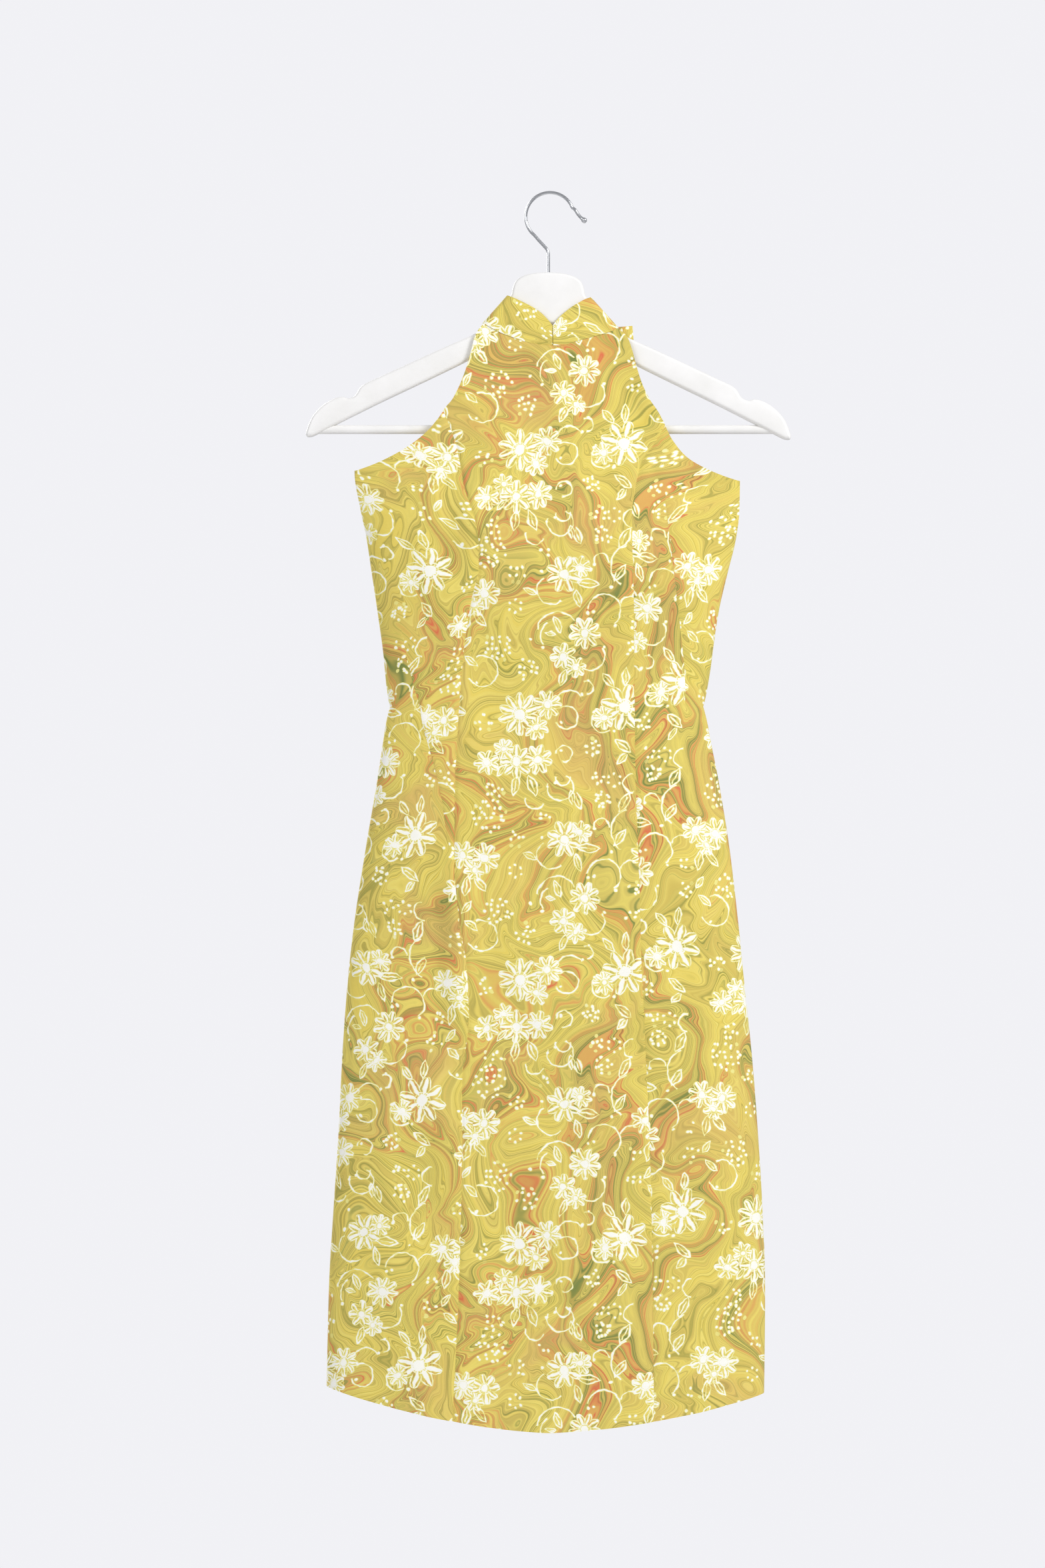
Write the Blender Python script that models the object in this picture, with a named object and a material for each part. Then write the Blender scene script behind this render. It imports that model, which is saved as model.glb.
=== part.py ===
"""Halter dress with a stand collar, hanging on a flat wooden hanger.

Sizes and tables are in millimetres. X runs to the right as seen from the front, -Y is the front
and +Z is up. The origin is the inside top of the hanger's hook, where a rail or wall hook holds it.
Left and right are as seen from the front.
"""

import math
from collections import namedtuple

import bmesh
import bpy
from mathutils import Vector

MM = 0.001

# Cloth
CLOTH = 1.1
COLLAR_CLOTH = 1.4
SEAM_GAP = 0.3
CLEARANCE = 0.3

# Hanger
BOARD = 12.0
BOARD_ROUNDING = 3.0
HANGER_SLOPE = 0.006
HANGER_X = -1.2
BAR_RADIUS = 4.0
BAR_Z = -209.0
BAR_END = 206.0
WIRE_RADIUS = 1.4
HOLE_PLAY = 0.15
STEM_X = HANGER_X
STEM_END = -82.0

# Rows of points down each panel, and columns across it
ROWS = 32
YOKE_ROWS = 5
SIDE_COLUMNS = 6
BACK_COLUMNS = 8

# Side seam: the last stretch of front and back runs straight back, so their edges meet squarely
SIDE_LIP = 2.0

# Outline from the top of the yoke to the hem. left and right are the side seams, continued straight
# up above the underarm; edge_y is the seam's depth, front_y and back_y those of the two faces.
Section = namedtuple("Section", "z left right edge_y front_y back_y roundness")
BODY = [
    Section(-110.0, -172.0, 169.0, -5.8, -8.0, 6.0, 1.00),
    Section(-134.0, -172.0, 169.0, -5.9, -8.2, 6.0, 1.00),
    Section(-170.0, -172.0, 169.0, -5.9, -10.4, 6.0, 1.00),
    Section(-205.0, -172.0, 168.0, -5.2, -14.5, 6.5, 1.00),
    Section(-247.0, -172.0, 167.6, -3.4, -21.0, 7.0, 0.95),
    Section(-282.0, -166.4, 167.0, -2.2, -29.0, 8.0, 0.75),
    Section(-305.0, -161.6, 164.2, -1.5, -32.0, 9.0, 0.62),
    Section(-337.0, -156.8, 156.5, -1.0, -32.0, 9.5, 0.55),
    Section(-371.0, -151.7, 148.7, -0.6, -29.0, 9.5, 0.52),
    Section(-417.0, -145.8, 142.2, -0.2, -25.5, 9.0, 0.50),
    Section(-455.0, -143.6, 138.0, 0.0, -24.0, 9.0, 0.50),
    Section(-476.0, -145.6, 140.3, 0.0, -24.5, 9.0, 0.50),
    Section(-521.0, -152.2, 148.7, 0.0, -27.0, 9.5, 0.50),
    Section(-581.0, -162.3, 158.4, 0.0, -30.0, 10.5, 0.50),
    Section(-649.0, -172.7, 166.4, 0.0, -32.0, 11.0, 0.50),
    Section(-703.0, -178.6, 171.8, 0.0, -32.0, 11.0, 0.50),
    Section(-764.0, -183.0, 178.2, 0.0, -32.0, 11.0, 0.50),
    Section(-833.0, -186.4, 183.6, 0.0, -32.5, 11.0, 0.50),
    Section(-900.0, -190.8, 187.6, 0.0, -33.0, 11.0, 0.50),
    Section(-968.0, -194.8, 190.0, 0.0, -34.0, 11.0, 0.50),
    Section(-1110.0, -198.0, 188.4, 0.0, -36.0, 11.0, 0.50),
]
FLATNESS = 2.3

# The side seams are nipped in at the waist
WAIST_Z = -455.0
WAIST_NIP = 3.0
WAIST_NIP_REACH = 9.0

# Seams that run from each armhole over the bust to the hem
Princess = namedtuple("Princess", "z left right")
PRINCESS = [
    Princess(-193.4, -94.3, 108.0),
    Princess(-206.5, -89.0, 102.0),
    Princess(-222.0, -83.5, 93.0),
    Princess(-241.0, -79.2, 80.5),
    Princess(-262.0, -75.5, 75.5),
    Princess(-288.0, -67.0, 72.0),
    Princess(-312.0, -62.8, 72.2),
    Princess(-332.0, -62.8, 73.0),
    Princess(-359.0, -68.7, 73.8),
    Princess(-400.0, -75.4, 74.2),
    Princess(-455.0, -80.0, 74.8),
    Princess(-530.0, -83.6, 75.8),
    Princess(-590.0, -84.0, 78.0),
    Princess(-640.0, -80.4, 79.4),
    Princess(-683.0, -73.6, 80.6),
    Princess(-730.0, -71.6, 83.2),
    Princess(-785.0, -77.4, 85.4),
    Princess(-880.0, -77.8, 89.0),
    Princess(-968.0, -80.4, 90.4),
    Princess(-1110.0, -87.4, 91.6),
]

# Neck seam, armholes and underarms
Armhole = namedtuple("Armhole", "z left right")
ARMHOLE = [
    Armhole(-115.8, -58.5, 56.0),
    Armhole(-120.4, -62.7, 60.3),
    Armhole(-127.0, -66.4, 68.0),
    Armhole(-138.0, -69.2, 72.5),
    Armhole(-152.0, -73.0, 76.2),
    Armhole(-169.0, -79.0, 81.5),
    Armhole(-184.0, -86.6, 88.6),
    Armhole(-193.4, -94.3, 95.0),
    Armhole(-206.5, -97.0, 102.0),
]
NECK_END_Z = {"left": -115.8, "right": -120.4}
PRINCESS_TOP = {"left": -193.4, "right": -206.5}
UNDERARM_Z = {"left": -246.0, "right": -255.0}
ARMHOLE_BOW = 6.5

# Hem: lower at the middle than at the side seams
HEM_Z = {"left": -1057.0, "right": -1063.0}
HEM_DROP = 33.0
HEM_POWER = 1.6

# Top edge of the bare-backed bodice, and the zip down the middle of it
BACK_DIP = 42.0
ZIP_ROWS = 13
ZIP_HALF = 1.7
ZIP_THICKNESS = 1.4
SLIDER_DROP = 9.0

# Soft folds: each runs from its top point to its bottom one; height is how far it comes forward
Fold = namedtuple("Fold", "face x_top z_top x_bottom z_bottom width height")
FOLDS = [
    Fold("front", -86.0, -540.0, -78.0, -800.0, 13.0, 3.2),
    Fold("front", -103.0, -560.0, -98.0, -790.0, 12.0, -2.6),
    Fold("front", -74.0, -225.0, -64.0, -370.0, 12.0, 2.6),
    Fold("front", -92.0, -250.0, -86.0, -360.0, 13.0, -2.2),
    Fold("front", 84.0, -262.0, 84.0, -350.0, 12.0, -3.4),
    Fold("front", 62.0, -250.0, 66.0, -420.0, 11.0, 2.2),
    Fold("front", 66.0, -140.0, 150.0, -262.0, 15.0, 2.0),
    Fold("front", -66.0, -150.0, -140.0, -250.0, 16.0, 1.6),
    Fold("front", 30.0, -600.0, 46.0, -1160.0, 26.0, 2.6),
    Fold("front", -30.0, -700.0, -42.0, -1160.0, 24.0, -2.4),
    Fold("front", 128.0, -560.0, 140.0, -1160.0, 22.0, 2.2),
    Fold("front", -136.0, -620.0, -148.0, -1160.0, 22.0, 2.2),
    Fold("back", 60.0, -420.0, 84.0, -1160.0, 26.0, 2.4),
    Fold("back", -62.0, -420.0, -90.0, -1160.0, 26.0, 2.4),
    Fold("back", 118.0, -300.0, 130.0, -700.0, 24.0, -2.0),
    Fold("back", -118.0, -300.0, -132.0, -700.0, 24.0, -2.0),
]

# Stand collar: a band in two halves, from the centre front round the hanger's flared neck to the
# back, where the left half ends over the right one. Each column runs from the neck seam (foot) up
# to the free edge (top); out is how far the tail stands off the first layer at the back.
COLLAR_ROWS = 4
WRAP_STEPS = 8
WRAP_POWER = 3.5
Band = namedtuple("Band", "foot_x foot_z top_x top_z out")
COLLAR_FRONT = {
    "left": [
        Band(2.5, -135.2, 2.2, -117.6, 0.0),
        Band(-6.0, -134.8, -1.2, -113.2, 0.0),
        Band(-19.0, -132.6, -7.6, -106.6, 0.0),
        Band(-33.0, -127.9, -17.0, -100.4, 0.0),
        Band(-44.0, -123.7, -25.5, -96.1, 0.0),
        Band(-53.3, -118.7, -32.4, -92.9, 0.0),
    ],
    "right": [
        Band(3.1, -135.2, 2.8, -117.6, 0.0),
        Band(12.0, -135.0, 6.4, -112.6, 0.0),
        Band(23.0, -131.6, 13.2, -106.0, 0.0),
        Band(35.0, -128.4, 20.6, -100.4, 0.0),
        Band(46.0, -125.4, 27.4, -96.4, 0.0),
        Band(55.0, -122.6, 31.4, -94.2, 0.0),
    ],
}
COLLAR_FOLD = {
    "left": Band(-58.5, -115.5, -37.1, -91.4, 0.0),
    "right": Band(60.3, -120.1, 35.9, -93.1, 0.0),
}
COLLAR_BACK = {
    "left": [
        Band(-41.0, -129.0, -22.0, -101.0, 0.4),
        Band(-24.0, -138.5, -11.0, -107.5, 1.75),
        Band(5.0, -145.5, 8.0, -112.5, 1.75),
        Band(30.0, -149.0, 31.0, -116.0, 1.75),
        Band(52.0, -150.0, 51.5, -117.0, 1.75),
        Band(67.0, -149.4, 65.6, -116.4, 2.2),
        Band(76.6, -148.3, 73.7, -115.3, 4.6),
    ],
    "right": [
        Band(44.0, -131.5, 23.0, -102.0, 0.0),
        Band(28.0, -138.0, 12.5, -108.0, 0.0),
        Band(12.0, -142.0, 4.5, -110.5, 0.0),
    ],
}

# Hanger outline, right half seen from the front, from the top of the neck to the middle of its foot
OutlinePoint = namedtuple("OutlinePoint", "x z handle")
HANGER_OUTLINE = [
    OutlinePoint(0.0, -69.8, "AUTO"),
    OutlinePoint(14.7, -70.9, "AUTO"),
    OutlinePoint(25.0, -74.4, "AUTO"),
    OutlinePoint(30.2, -79.6, "AUTO"),
    OutlinePoint(33.0, -91.0, "VECTOR"),
    OutlinePoint(54.4, -116.6, "VECTOR"),
    OutlinePoint(67.4, -125.6, "AUTO"),
    OutlinePoint(91.0, -136.2, "VECTOR"),
    OutlinePoint(151.0, -163.9, "VECTOR"),
    OutlinePoint(165.6, -171.4, "AUTO"),
    OutlinePoint(171.6, -180.0, "AUTO"),
    OutlinePoint(177.5, -182.5, "AUTO"),
    OutlinePoint(182.5, -181.2, "AUTO"),
    OutlinePoint(190.0, -182.8, "AUTO"),
    OutlinePoint(200.5, -189.2, "AUTO"),
    OutlinePoint(209.3, -198.8, "AUTO"),
    OutlinePoint(214.2, -210.4, "AUTO"),
    OutlinePoint(214.6, -216.2, "AUTO"),
    OutlinePoint(209.0, -216.4, "VECTOR"),
    OutlinePoint(186.0, -204.6, "VECTOR"),
    OutlinePoint(151.0, -187.0, "VECTOR"),
    OutlinePoint(73.6, -149.5, "AUTO"),
    OutlinePoint(32.0, -127.0, "AUTO"),
    OutlinePoint(0.0, -115.5, "AUTO"),
]

# Middle line of the hook's wire, from the end in the hanger to the tip; radius is a share of the
# wire's, for the knob on the tip
HookPoint = namedtuple("HookPoint", "x z radius")
HOOK_STEM = [
    HookPoint(STEM_X, STEM_END, 1.0),
    HookPoint(STEM_X, -53.0, 1.0),
    HookPoint(-1.8, -50.2, 1.0),
    HookPoint(-3.4, -47.9, 1.0),
    HookPoint(-9.6, -41.2, 1.0),
]
HOOK_CENTRE = (0.2, -20.1)
HOOK_RADIUS = 21.5
HOOK_ARC = (230.0, 22.0)
HOOK_ARC_STEPS = 20
HOOK_TIP = [
    HookPoint(22.4, -13.8, 1.0),
    HookPoint(25.0, -17.8, 1.0),
    HookPoint(27.7, -20.9, 1.0),
    HookPoint(29.0, -22.0, 1.2),
    HookPoint(29.8, -22.6, 1.6),
    HookPoint(30.9, -23.4, 1.75),
    HookPoint(32.0, -24.2, 1.45),
    HookPoint(32.6, -24.6, 0.8),
]

# Zip pull
SLIDER = (5.6, 2.4, 9.0)
LUG = (1.0, 3.4, 3.0)
LUG_X = 2.0
PIN_RADIUS = 0.6
EYE_RADIUS = 1.5
EYE_HOLE = 0.9
EYE_WIDTH = 2.2
PULL_THICKNESS = 1.2
PULL_OUTLINE = [(0.9, -1.0), (0.9, -5.0), (2.4, -9.0), (2.4, -19.0), (1.2, -21.0)]

COLOURS = {
    "print_cloth": ((0.73, 0.55, 0.10, 1.0), 0.85, 0.0),
    "painted_wood": ((0.86, 0.86, 0.85, 1.0), 0.45, 0.0),
    "chrome": ((0.75, 0.76, 0.78, 1.0), 0.15, 1.0),
    "zip_metal": ((0.55, 0.48, 0.30, 1.0), 0.35, 1.0),
}


def clear_scene():
    for item in list(bpy.data.objects):
        bpy.data.objects.remove(item, do_unlink=True)


def collection(name):
    made = bpy.data.collections.new(name)
    bpy.context.scene.collection.children.link(made)
    return made


def material(name):
    colour, roughness, metallic = COLOURS[name]
    made = bpy.data.materials.get(name) or bpy.data.materials.new(name)
    made.use_nodes = True
    shader = made.node_tree.nodes["Principled BSDF"]
    shader.inputs["Base Color"].default_value = colour
    shader.inputs["Roughness"].default_value = roughness
    shader.inputs["Metallic"].default_value = metallic
    return made


def blend(a, b, share):
    return a + (b - a) * share


def ease(share):
    share = min(max(share, 0.0), 1.0)
    return share * share * (3.0 - 2.0 * share)


def smooth(table, column, at, key="z"):
    """Value of a column at a height, on a cubic through the rows whose slopes never overshoot."""
    rows = sorted(table, key=lambda row: getattr(row, key))
    xs = [getattr(row, key) for row in rows]
    ys = [getattr(row, column) for row in rows]
    if at <= xs[0]:
        return ys[0]
    if at >= xs[-1]:
        return ys[-1]
    steps = [(ys[i + 1] - ys[i]) / (xs[i + 1] - xs[i]) for i in range(len(xs) - 1)]
    slopes = [steps[0]]
    for before, after in zip(steps, steps[1:]):
        slopes.append(0.0 if before * after <= 0.0 else 2.0 * before * after / (before + after))
    slopes.append(steps[-1])
    i = max(k for k in range(len(xs) - 1) if xs[k] <= at)
    width = xs[i + 1] - xs[i]
    t = (at - xs[i]) / width
    return (
        (1 + 2 * t) * (1 - t) ** 2 * ys[i]
        + t * (1 - t) ** 2 * width * slopes[i]
        + t * t * (3 - 2 * t) * ys[i + 1]
        + t * t * (t - 1) * width * slopes[i + 1]
    )


def side_x(side, z):
    """X of a side seam, with the waist nipped in."""
    nip = WAIST_NIP * math.exp(-abs(z - WAIST_Z) / WAIST_NIP_REACH)
    x = smooth(BODY, side, z)
    return x + nip if side == "left" else x - nip


def middle_x(z):
    return (side_x("left", z) + side_x("right", z)) / 2


def across(x, z):
    """Place across the body: -1 at the left side seam, 1 at the right one."""
    left = side_x("left", z)
    right = side_x("right", z)
    return min(max((2 * x - left - right) / (right - left), -1.0), 1.0)


def fold_depth(face, x, z):
    """How far the soft folds bring the cloth forward at a point."""
    total = 0.0
    for fold in FOLDS:
        if fold.face != face or not fold.z_bottom < z < fold.z_top:
            continue
        along = (z - fold.z_top) / (fold.z_bottom - fold.z_top)
        off = (x - blend(fold.x_top, fold.x_bottom, along)) / fold.width
        total += fold.height * math.exp(-off * off) * math.sin(math.pi * along) ** 2
    return total


def face_y(face, x, z):
    """Depth of the cloth's outer face: a flattened tube, more open-sided above the underarm."""
    edge = smooth(BODY, "edge_y", z)
    middle = smooth(BODY, face + "_y", z)
    edge += -SIDE_LIP if face == "front" else SIDE_LIP
    u = across(x, z)
    share = (1.0 - abs(u) ** FLATNESS) ** smooth(BODY, "roundness", z)
    fading = 1.0 - u ** 6
    fold = fold_depth(face, x, z) * fading
    return blend(edge, middle, share) + (-fold if face == "front" else fold)


def hem_z(side, x):
    """Height of the hem, which curves down from the side seams to the middle."""
    u = across(x, HEM_Z[side])
    level = blend(HEM_Z["left"], HEM_Z["right"], (u + 1) / 2)
    return level - HEM_DROP * (1.0 - abs(u) ** HEM_POWER)


def princess_x(side, z):
    return smooth(PRINCESS, side, z)


def inward(face, x, z):
    """Unit normal of a face of the body, pointing into the dress."""
    step = 0.5
    slope_x = (face_y(face, x + step, z) - face_y(face, x - step, z)) / (2 * step)
    slope_z = (face_y(face, x, z + step) - face_y(face, x, z - step)) / (2 * step)
    normal = Vector((-slope_x, 1.0, -slope_z)).normalized()
    return normal if face == "front" else -normal


def wall(name, outer, inner, colour, group, flip=False):
    """A closed wall between two grids of points: rows run down and columns across."""
    rows, columns = len(outer), len(outer[0])
    count = rows * columns
    points = [Vector(p) * MM for grid in (outer, inner) for row in grid for p in row]
    faces = []
    for r in range(rows - 1):
        for c in range(columns - 1):
            a = r * columns + c
            faces.append((a, a + columns, a + columns + 1, a + 1))
            faces.append((a + count, a + count + 1, a + count + columns + 1, a + count + columns))
    rim = [c for c in range(columns)]
    rim += [r * columns + columns - 1 for r in range(1, rows)]
    rim += [(rows - 1) * columns + c for c in range(columns - 2, -1, -1)]
    rim += [r * columns for r in range(rows - 2, 0, -1)]
    for a, b in zip(rim, rim[1:] + rim[:1]):
        faces.append((a, b, b + count, a + count))
    if flip:
        faces = [face[::-1] for face in faces]
    mesh = bpy.data.meshes.new(name)
    mesh.from_pydata(points, [], faces)
    mesh.shade_smooth()
    return link(name, mesh, colour, group)


def link(name, mesh, colour, group):
    made = bpy.data.objects.new(name, mesh)
    made.data.materials.clear()
    made.data.materials.append(material(colour))
    group.objects.link(made)
    return made


def body_wall(name, face, lines, group, flip=False):
    """A panel of the body: each point is (x, z, edge), where edge marks the side's lip."""
    outer, inner = [], []
    for line in lines:
        out_row, in_row = [], []
        for x, z, edge in line:
            if edge:
                side = "left" if x < middle_x(z) else "right"
                normal = Vector((1.0 if side == "left" else -1.0, 0.0, 0.0))
            else:
                normal = inward(face, x, z)
            y = face_y(face, x, z)
            if edge == "lip":
                y = smooth(BODY, "edge_y", z) + (-1 if face == "front" else 1) * SEAM_GAP / 2
            point = Vector((x, y, z))
            out_row.append(point)
            in_row.append(point + normal * CLOTH)
        outer.append(out_row)
        inner.append(in_row)
    return wall(name, outer, inner, "print_cloth", group, flip)


def neck_seam():
    """Points of the neck seam from left to right, as (x, z) at the foot of the collar."""
    points = []
    for side in ("left", "right"):
        bands = COLLAR_FRONT[side] + [COLLAR_FOLD[side]]
        points.append([(band.foot_x, band.foot_z) for band in bands])
    left, right = points
    middle = ((left[0][0] + right[0][0]) / 2, left[0][1])
    return left[:0:-1] + [middle] + right[1:]


def front_centre(group):
    """Centre front: hangs from the neck seam between the armholes, then between the princess seams."""
    lines = []
    neck = neck_seam()
    width = neck[-1][0] - neck[0][0]
    hem = {side: hem_z(side, princess_x(side, HEM_Z[side])) for side in ("left", "right")}
    for row in range(YOKE_ROWS + ROWS):
        down = max(row - YOKE_ROWS, 0) / (ROWS - 1)
        ends = {}
        for side in ("left", "right"):
            if row < YOKE_ROWS:
                z = blend(NECK_END_Z[side], PRINCESS_TOP[side], row / YOKE_ROWS)
                ends[side] = (smooth(ARMHOLE, side, z), z)
            else:
                z = blend(PRINCESS_TOP[side], hem[side], down)
                ends[side] = (princess_x(side, z), z)
        line = []
        for neck_x, neck_z in neck:
            share = (neck_x - neck[0][0]) / width
            side = "left" if share < 0.5 else "right"
            x = blend(ends["left"][0], ends["right"][0], share)
            level = blend(ends["left"][1], ends["right"][1], share)
            neck_level = blend(NECK_END_Z["left"], NECK_END_Z["right"], share)
            sag = (neck_level - neck_z + SEAM_GAP) * (1.0 - ease(row / 9))
            drop = (blend(hem["left"], hem["right"], share) - hem_z(side, x)) * ease(down)
            if share in (0.0, 1.0):
                sag = drop = 0.0
                x -= math.copysign(SEAM_GAP / 2, share - 0.5) if row >= YOKE_ROWS else 0.0
            line.append((x, level - sag - drop, None))
        lines.append(line)
    return body_wall("front_centre", "front", lines, group)


def side_share(column, columns):
    """Spacing across a side panel, close together where the cloth turns round the side."""
    return 1.0 - math.cos(column / columns * math.pi / 2)


def side_edge(column):
    return {-1: "lip", 0: "side"}.get(column)


def front_side(side, group):
    """Side front: from the armhole to the hem, between the side seam and the princess seam."""
    sign = -1 if side == "left" else 1
    lines = []
    for row in range(ROWS):
        down = row / (ROWS - 1)
        line = []
        for column in range(-1, SIDE_COLUMNS + 1):
            s = side_share(max(column, 0), SIDE_COLUMNS)
            top = blend(UNDERARM_Z[side], PRINCESS_TOP[side], s) - ARMHOLE_BOW * 4 * s * (1 - s)
            guess = blend(side_x(side, HEM_Z[side]), princess_x(side, HEM_Z[side]), s)
            z = blend(top, hem_z(side, guess), down)
            x = blend(side_x(side, z), princess_x(side, z), s)
            if column == SIDE_COLUMNS:
                x += sign * SEAM_GAP / 2
            line.append((x, z, side_edge(column)))
        lines.append(line if side == "left" else line[::-1])
    return body_wall("front_side_" + side, "front", lines, group)


def back_top(side, s):
    """Height of the back's top edge: lower at the middle than at the underarms."""
    middle = (UNDERARM_Z["left"] + UNDERARM_Z["right"]) / 2 - BACK_DIP
    return blend(UNDERARM_Z[side], middle, ease(s))


def back_half(side, group):
    """Half of the bare-backed bodice and skirt, from its side seam to the centre back."""
    sign = -1 if side == "left" else 1
    lines = []
    for row in range(ROWS):
        down = row / (ROWS - 1)
        line = []
        for column in range(-1, BACK_COLUMNS + 1):
            s = side_share(max(column, 0), BACK_COLUMNS)
            guess = blend(side_x(side, HEM_Z[side]), middle_x(HEM_Z[side]), s)
            z = blend(back_top(side, s), hem_z(side, guess), down)
            x = blend(side_x(side, z), middle_x(z), s)
            if column == BACK_COLUMNS:
                x += sign * (ZIP_HALF + CLEARANCE if row <= ZIP_ROWS else SEAM_GAP / 2)
            line.append((x, z, side_edge(column)))
        lines.append(line)
    return body_wall("back_" + side, "back", lines, group, flip=side == "left")


def zip_tape(group):
    """The zip between the back halves, narrowing where they come together below it."""
    lines = []
    for row in list(range(ZIP_ROWS + 1)) + [ZIP_ROWS + 0.8]:
        bottom = (hem_z("left", middle_x(HEM_Z["left"])) + hem_z("right", middle_x(HEM_Z["right"]))) / 2
        z = blend(back_top("left", 1.0), bottom, row / (ROWS - 1))
        half = ZIP_HALF if row <= ZIP_ROWS else 0.2
        lines.append([(middle_x(z) + half * side, z, None) for side in (1, -1)])
    return body_wall("zip_tape", "back", lines, group)


def collar_half(side, group):
    """Half of the stand collar: up from the neck seam, round the hanger's flare and behind its neck."""
    sign = -1 if side == "left" else 1
    depth = BOARD / 2 + CLEARANCE + COLLAR_CLOTH
    last, fold = COLLAR_FRONT[side][-1], COLLAR_FOLD[side]
    columns = []
    for band in COLLAR_FRONT[side]:
        columns.append((band, 0.0, -depth, Vector((0.0, 1.0, 0.0))))
    reach = math.hypot(fold.foot_x - last.foot_x, fold.foot_z - last.foot_z)
    out = Vector((fold.foot_x - last.foot_x + fold.top_x - last.top_x, 0.0,
                  fold.foot_z - last.foot_z + fold.top_z - last.top_z)).normalized()
    for step in range(1, WRAP_STEPS + 1):
        turn = math.pi * (step / WRAP_STEPS - 0.5)
        share = abs(math.cos(turn)) ** (2 / WRAP_POWER) if step < WRAP_STEPS else 0.0
        level = math.copysign(abs(math.sin(turn)) ** (2 / WRAP_POWER), turn)
        normal = out * (share ** (WRAP_POWER - 1) / reach)
        normal += Vector((0.0, math.copysign(abs(level) ** (WRAP_POWER - 1) / depth, turn), 0.0))
        band = Band(*(blend(a, b, share) for a, b in zip(last, fold)))
        columns.append((band, 0.0, depth * level, -normal.normalized()))
    for band in COLLAR_BACK[side]:
        columns.append((band, band.out, depth, Vector((0.0, -1.0, 0.0))))
    outer, inner = [], []
    for row in range(COLLAR_ROWS + 1):
        up = 1.0 - row / COLLAR_ROWS
        line = [Vector((blend(b.foot_x, b.top_x, up), y + off, blend(b.foot_z, b.top_z, up)))
                for b, off, y, normal in columns]
        outer.append(line)
        inner.append([p + column[3] * COLLAR_CLOTH for p, column in zip(line, columns)])
    return wall("collar_" + side, outer, inner, "print_cloth", group, flip=side == "left")


def clean_mesh_from(item):
    """The evaluated mesh of an object, with the loose caps of a curve welded on."""
    graph = bpy.context.evaluated_depsgraph_get()
    mesh = bpy.data.meshes.new_from_object(item.evaluated_get(graph))
    work = bmesh.new()
    work.from_mesh(mesh)
    bmesh.ops.remove_doubles(work, verts=work.verts, dist=1e-6)
    bmesh.ops.recalc_face_normals(work, faces=work.faces)
    work.to_mesh(mesh)
    work.free()
    return mesh


def cylinder(name, radius, start, end, colour, group, sides=24):
    """A round bar between two points."""
    a, b = Vector(start) * MM, Vector(end) * MM
    mesh = bpy.data.meshes.new(name)
    work = bmesh.new()
    bmesh.ops.create_cone(work, cap_ends=True, segments=sides, radius1=radius * MM,
                          radius2=radius * MM, depth=(b - a).length)
    work.to_mesh(mesh)
    work.free()
    made = link(name, mesh, colour, group)
    made.location = (a + b) / 2
    made.rotation_euler = (b - a).to_track_quat("Z", "Y").to_euler()
    return made


def box(name, size, centre, colour, group):
    mesh = bpy.data.meshes.new(name)
    work = bmesh.new()
    bmesh.ops.create_cube(work, size=1.0)
    bmesh.ops.scale(work, vec=Vector(size) * MM, verts=work.verts)
    work.to_mesh(mesh)
    work.free()
    made = link(name, mesh, colour, group)
    made.location = Vector(centre) * MM
    return made


def combine(target, tool, operation):
    """Cut or join with a helper solid, which isn't part of the product."""
    tool.hide_render = True
    tool.hide_set(True)
    step = target.modifiers.new(tool.name, "BOOLEAN")
    step.operation = operation
    step.solver = "EXACT"
    step.object = tool


def hanger_board(group):
    """The wooden hanger: a board with rounded edges, notched near its ends."""
    right = HANGER_OUTLINE
    left = [OutlinePoint(-p.x, p.z, p.handle) for p in reversed(right[1:-1])]
    curve = bpy.data.curves.new("hanger_board", "CURVE")
    curve.dimensions = "2D"
    curve.fill_mode = "BOTH"
    curve.extrude = (BOARD / 2 - BOARD_ROUNDING) * MM
    curve.bevel_depth = BOARD_ROUNDING * MM
    curve.bevel_resolution = 1
    curve.offset = -BOARD_ROUNDING * MM
    spline = curve.splines.new("BEZIER")
    spline.bezier_points.add(len(right) + len(left) - 1)
    spline.use_cyclic_u = True
    spline.resolution_u = 3
    for knot, p in zip(spline.bezier_points, right + left):
        knot.co = Vector((p.x + HANGER_X, p.z - HANGER_SLOPE * p.x, 0.0)) * MM
        knot.handle_left_type = knot.handle_right_type = p.handle
    shape = bpy.data.objects.new("hanger_outline", curve)
    bpy.context.scene.collection.objects.link(shape)
    mesh = clean_mesh_from(shape)
    bpy.data.objects.remove(shape, do_unlink=True)
    mesh.shade_smooth()
    board = link("hanger_board", mesh, "painted_wood", group)
    board.rotation_euler = (math.radians(90), 0.0, 0.0)
    return board


def drill(board, name, radius, start, end, group):
    tool = cylinder(name, radius, start, end, "painted_wood", group)
    combine(board, tool, "DIFFERENCE")


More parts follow.
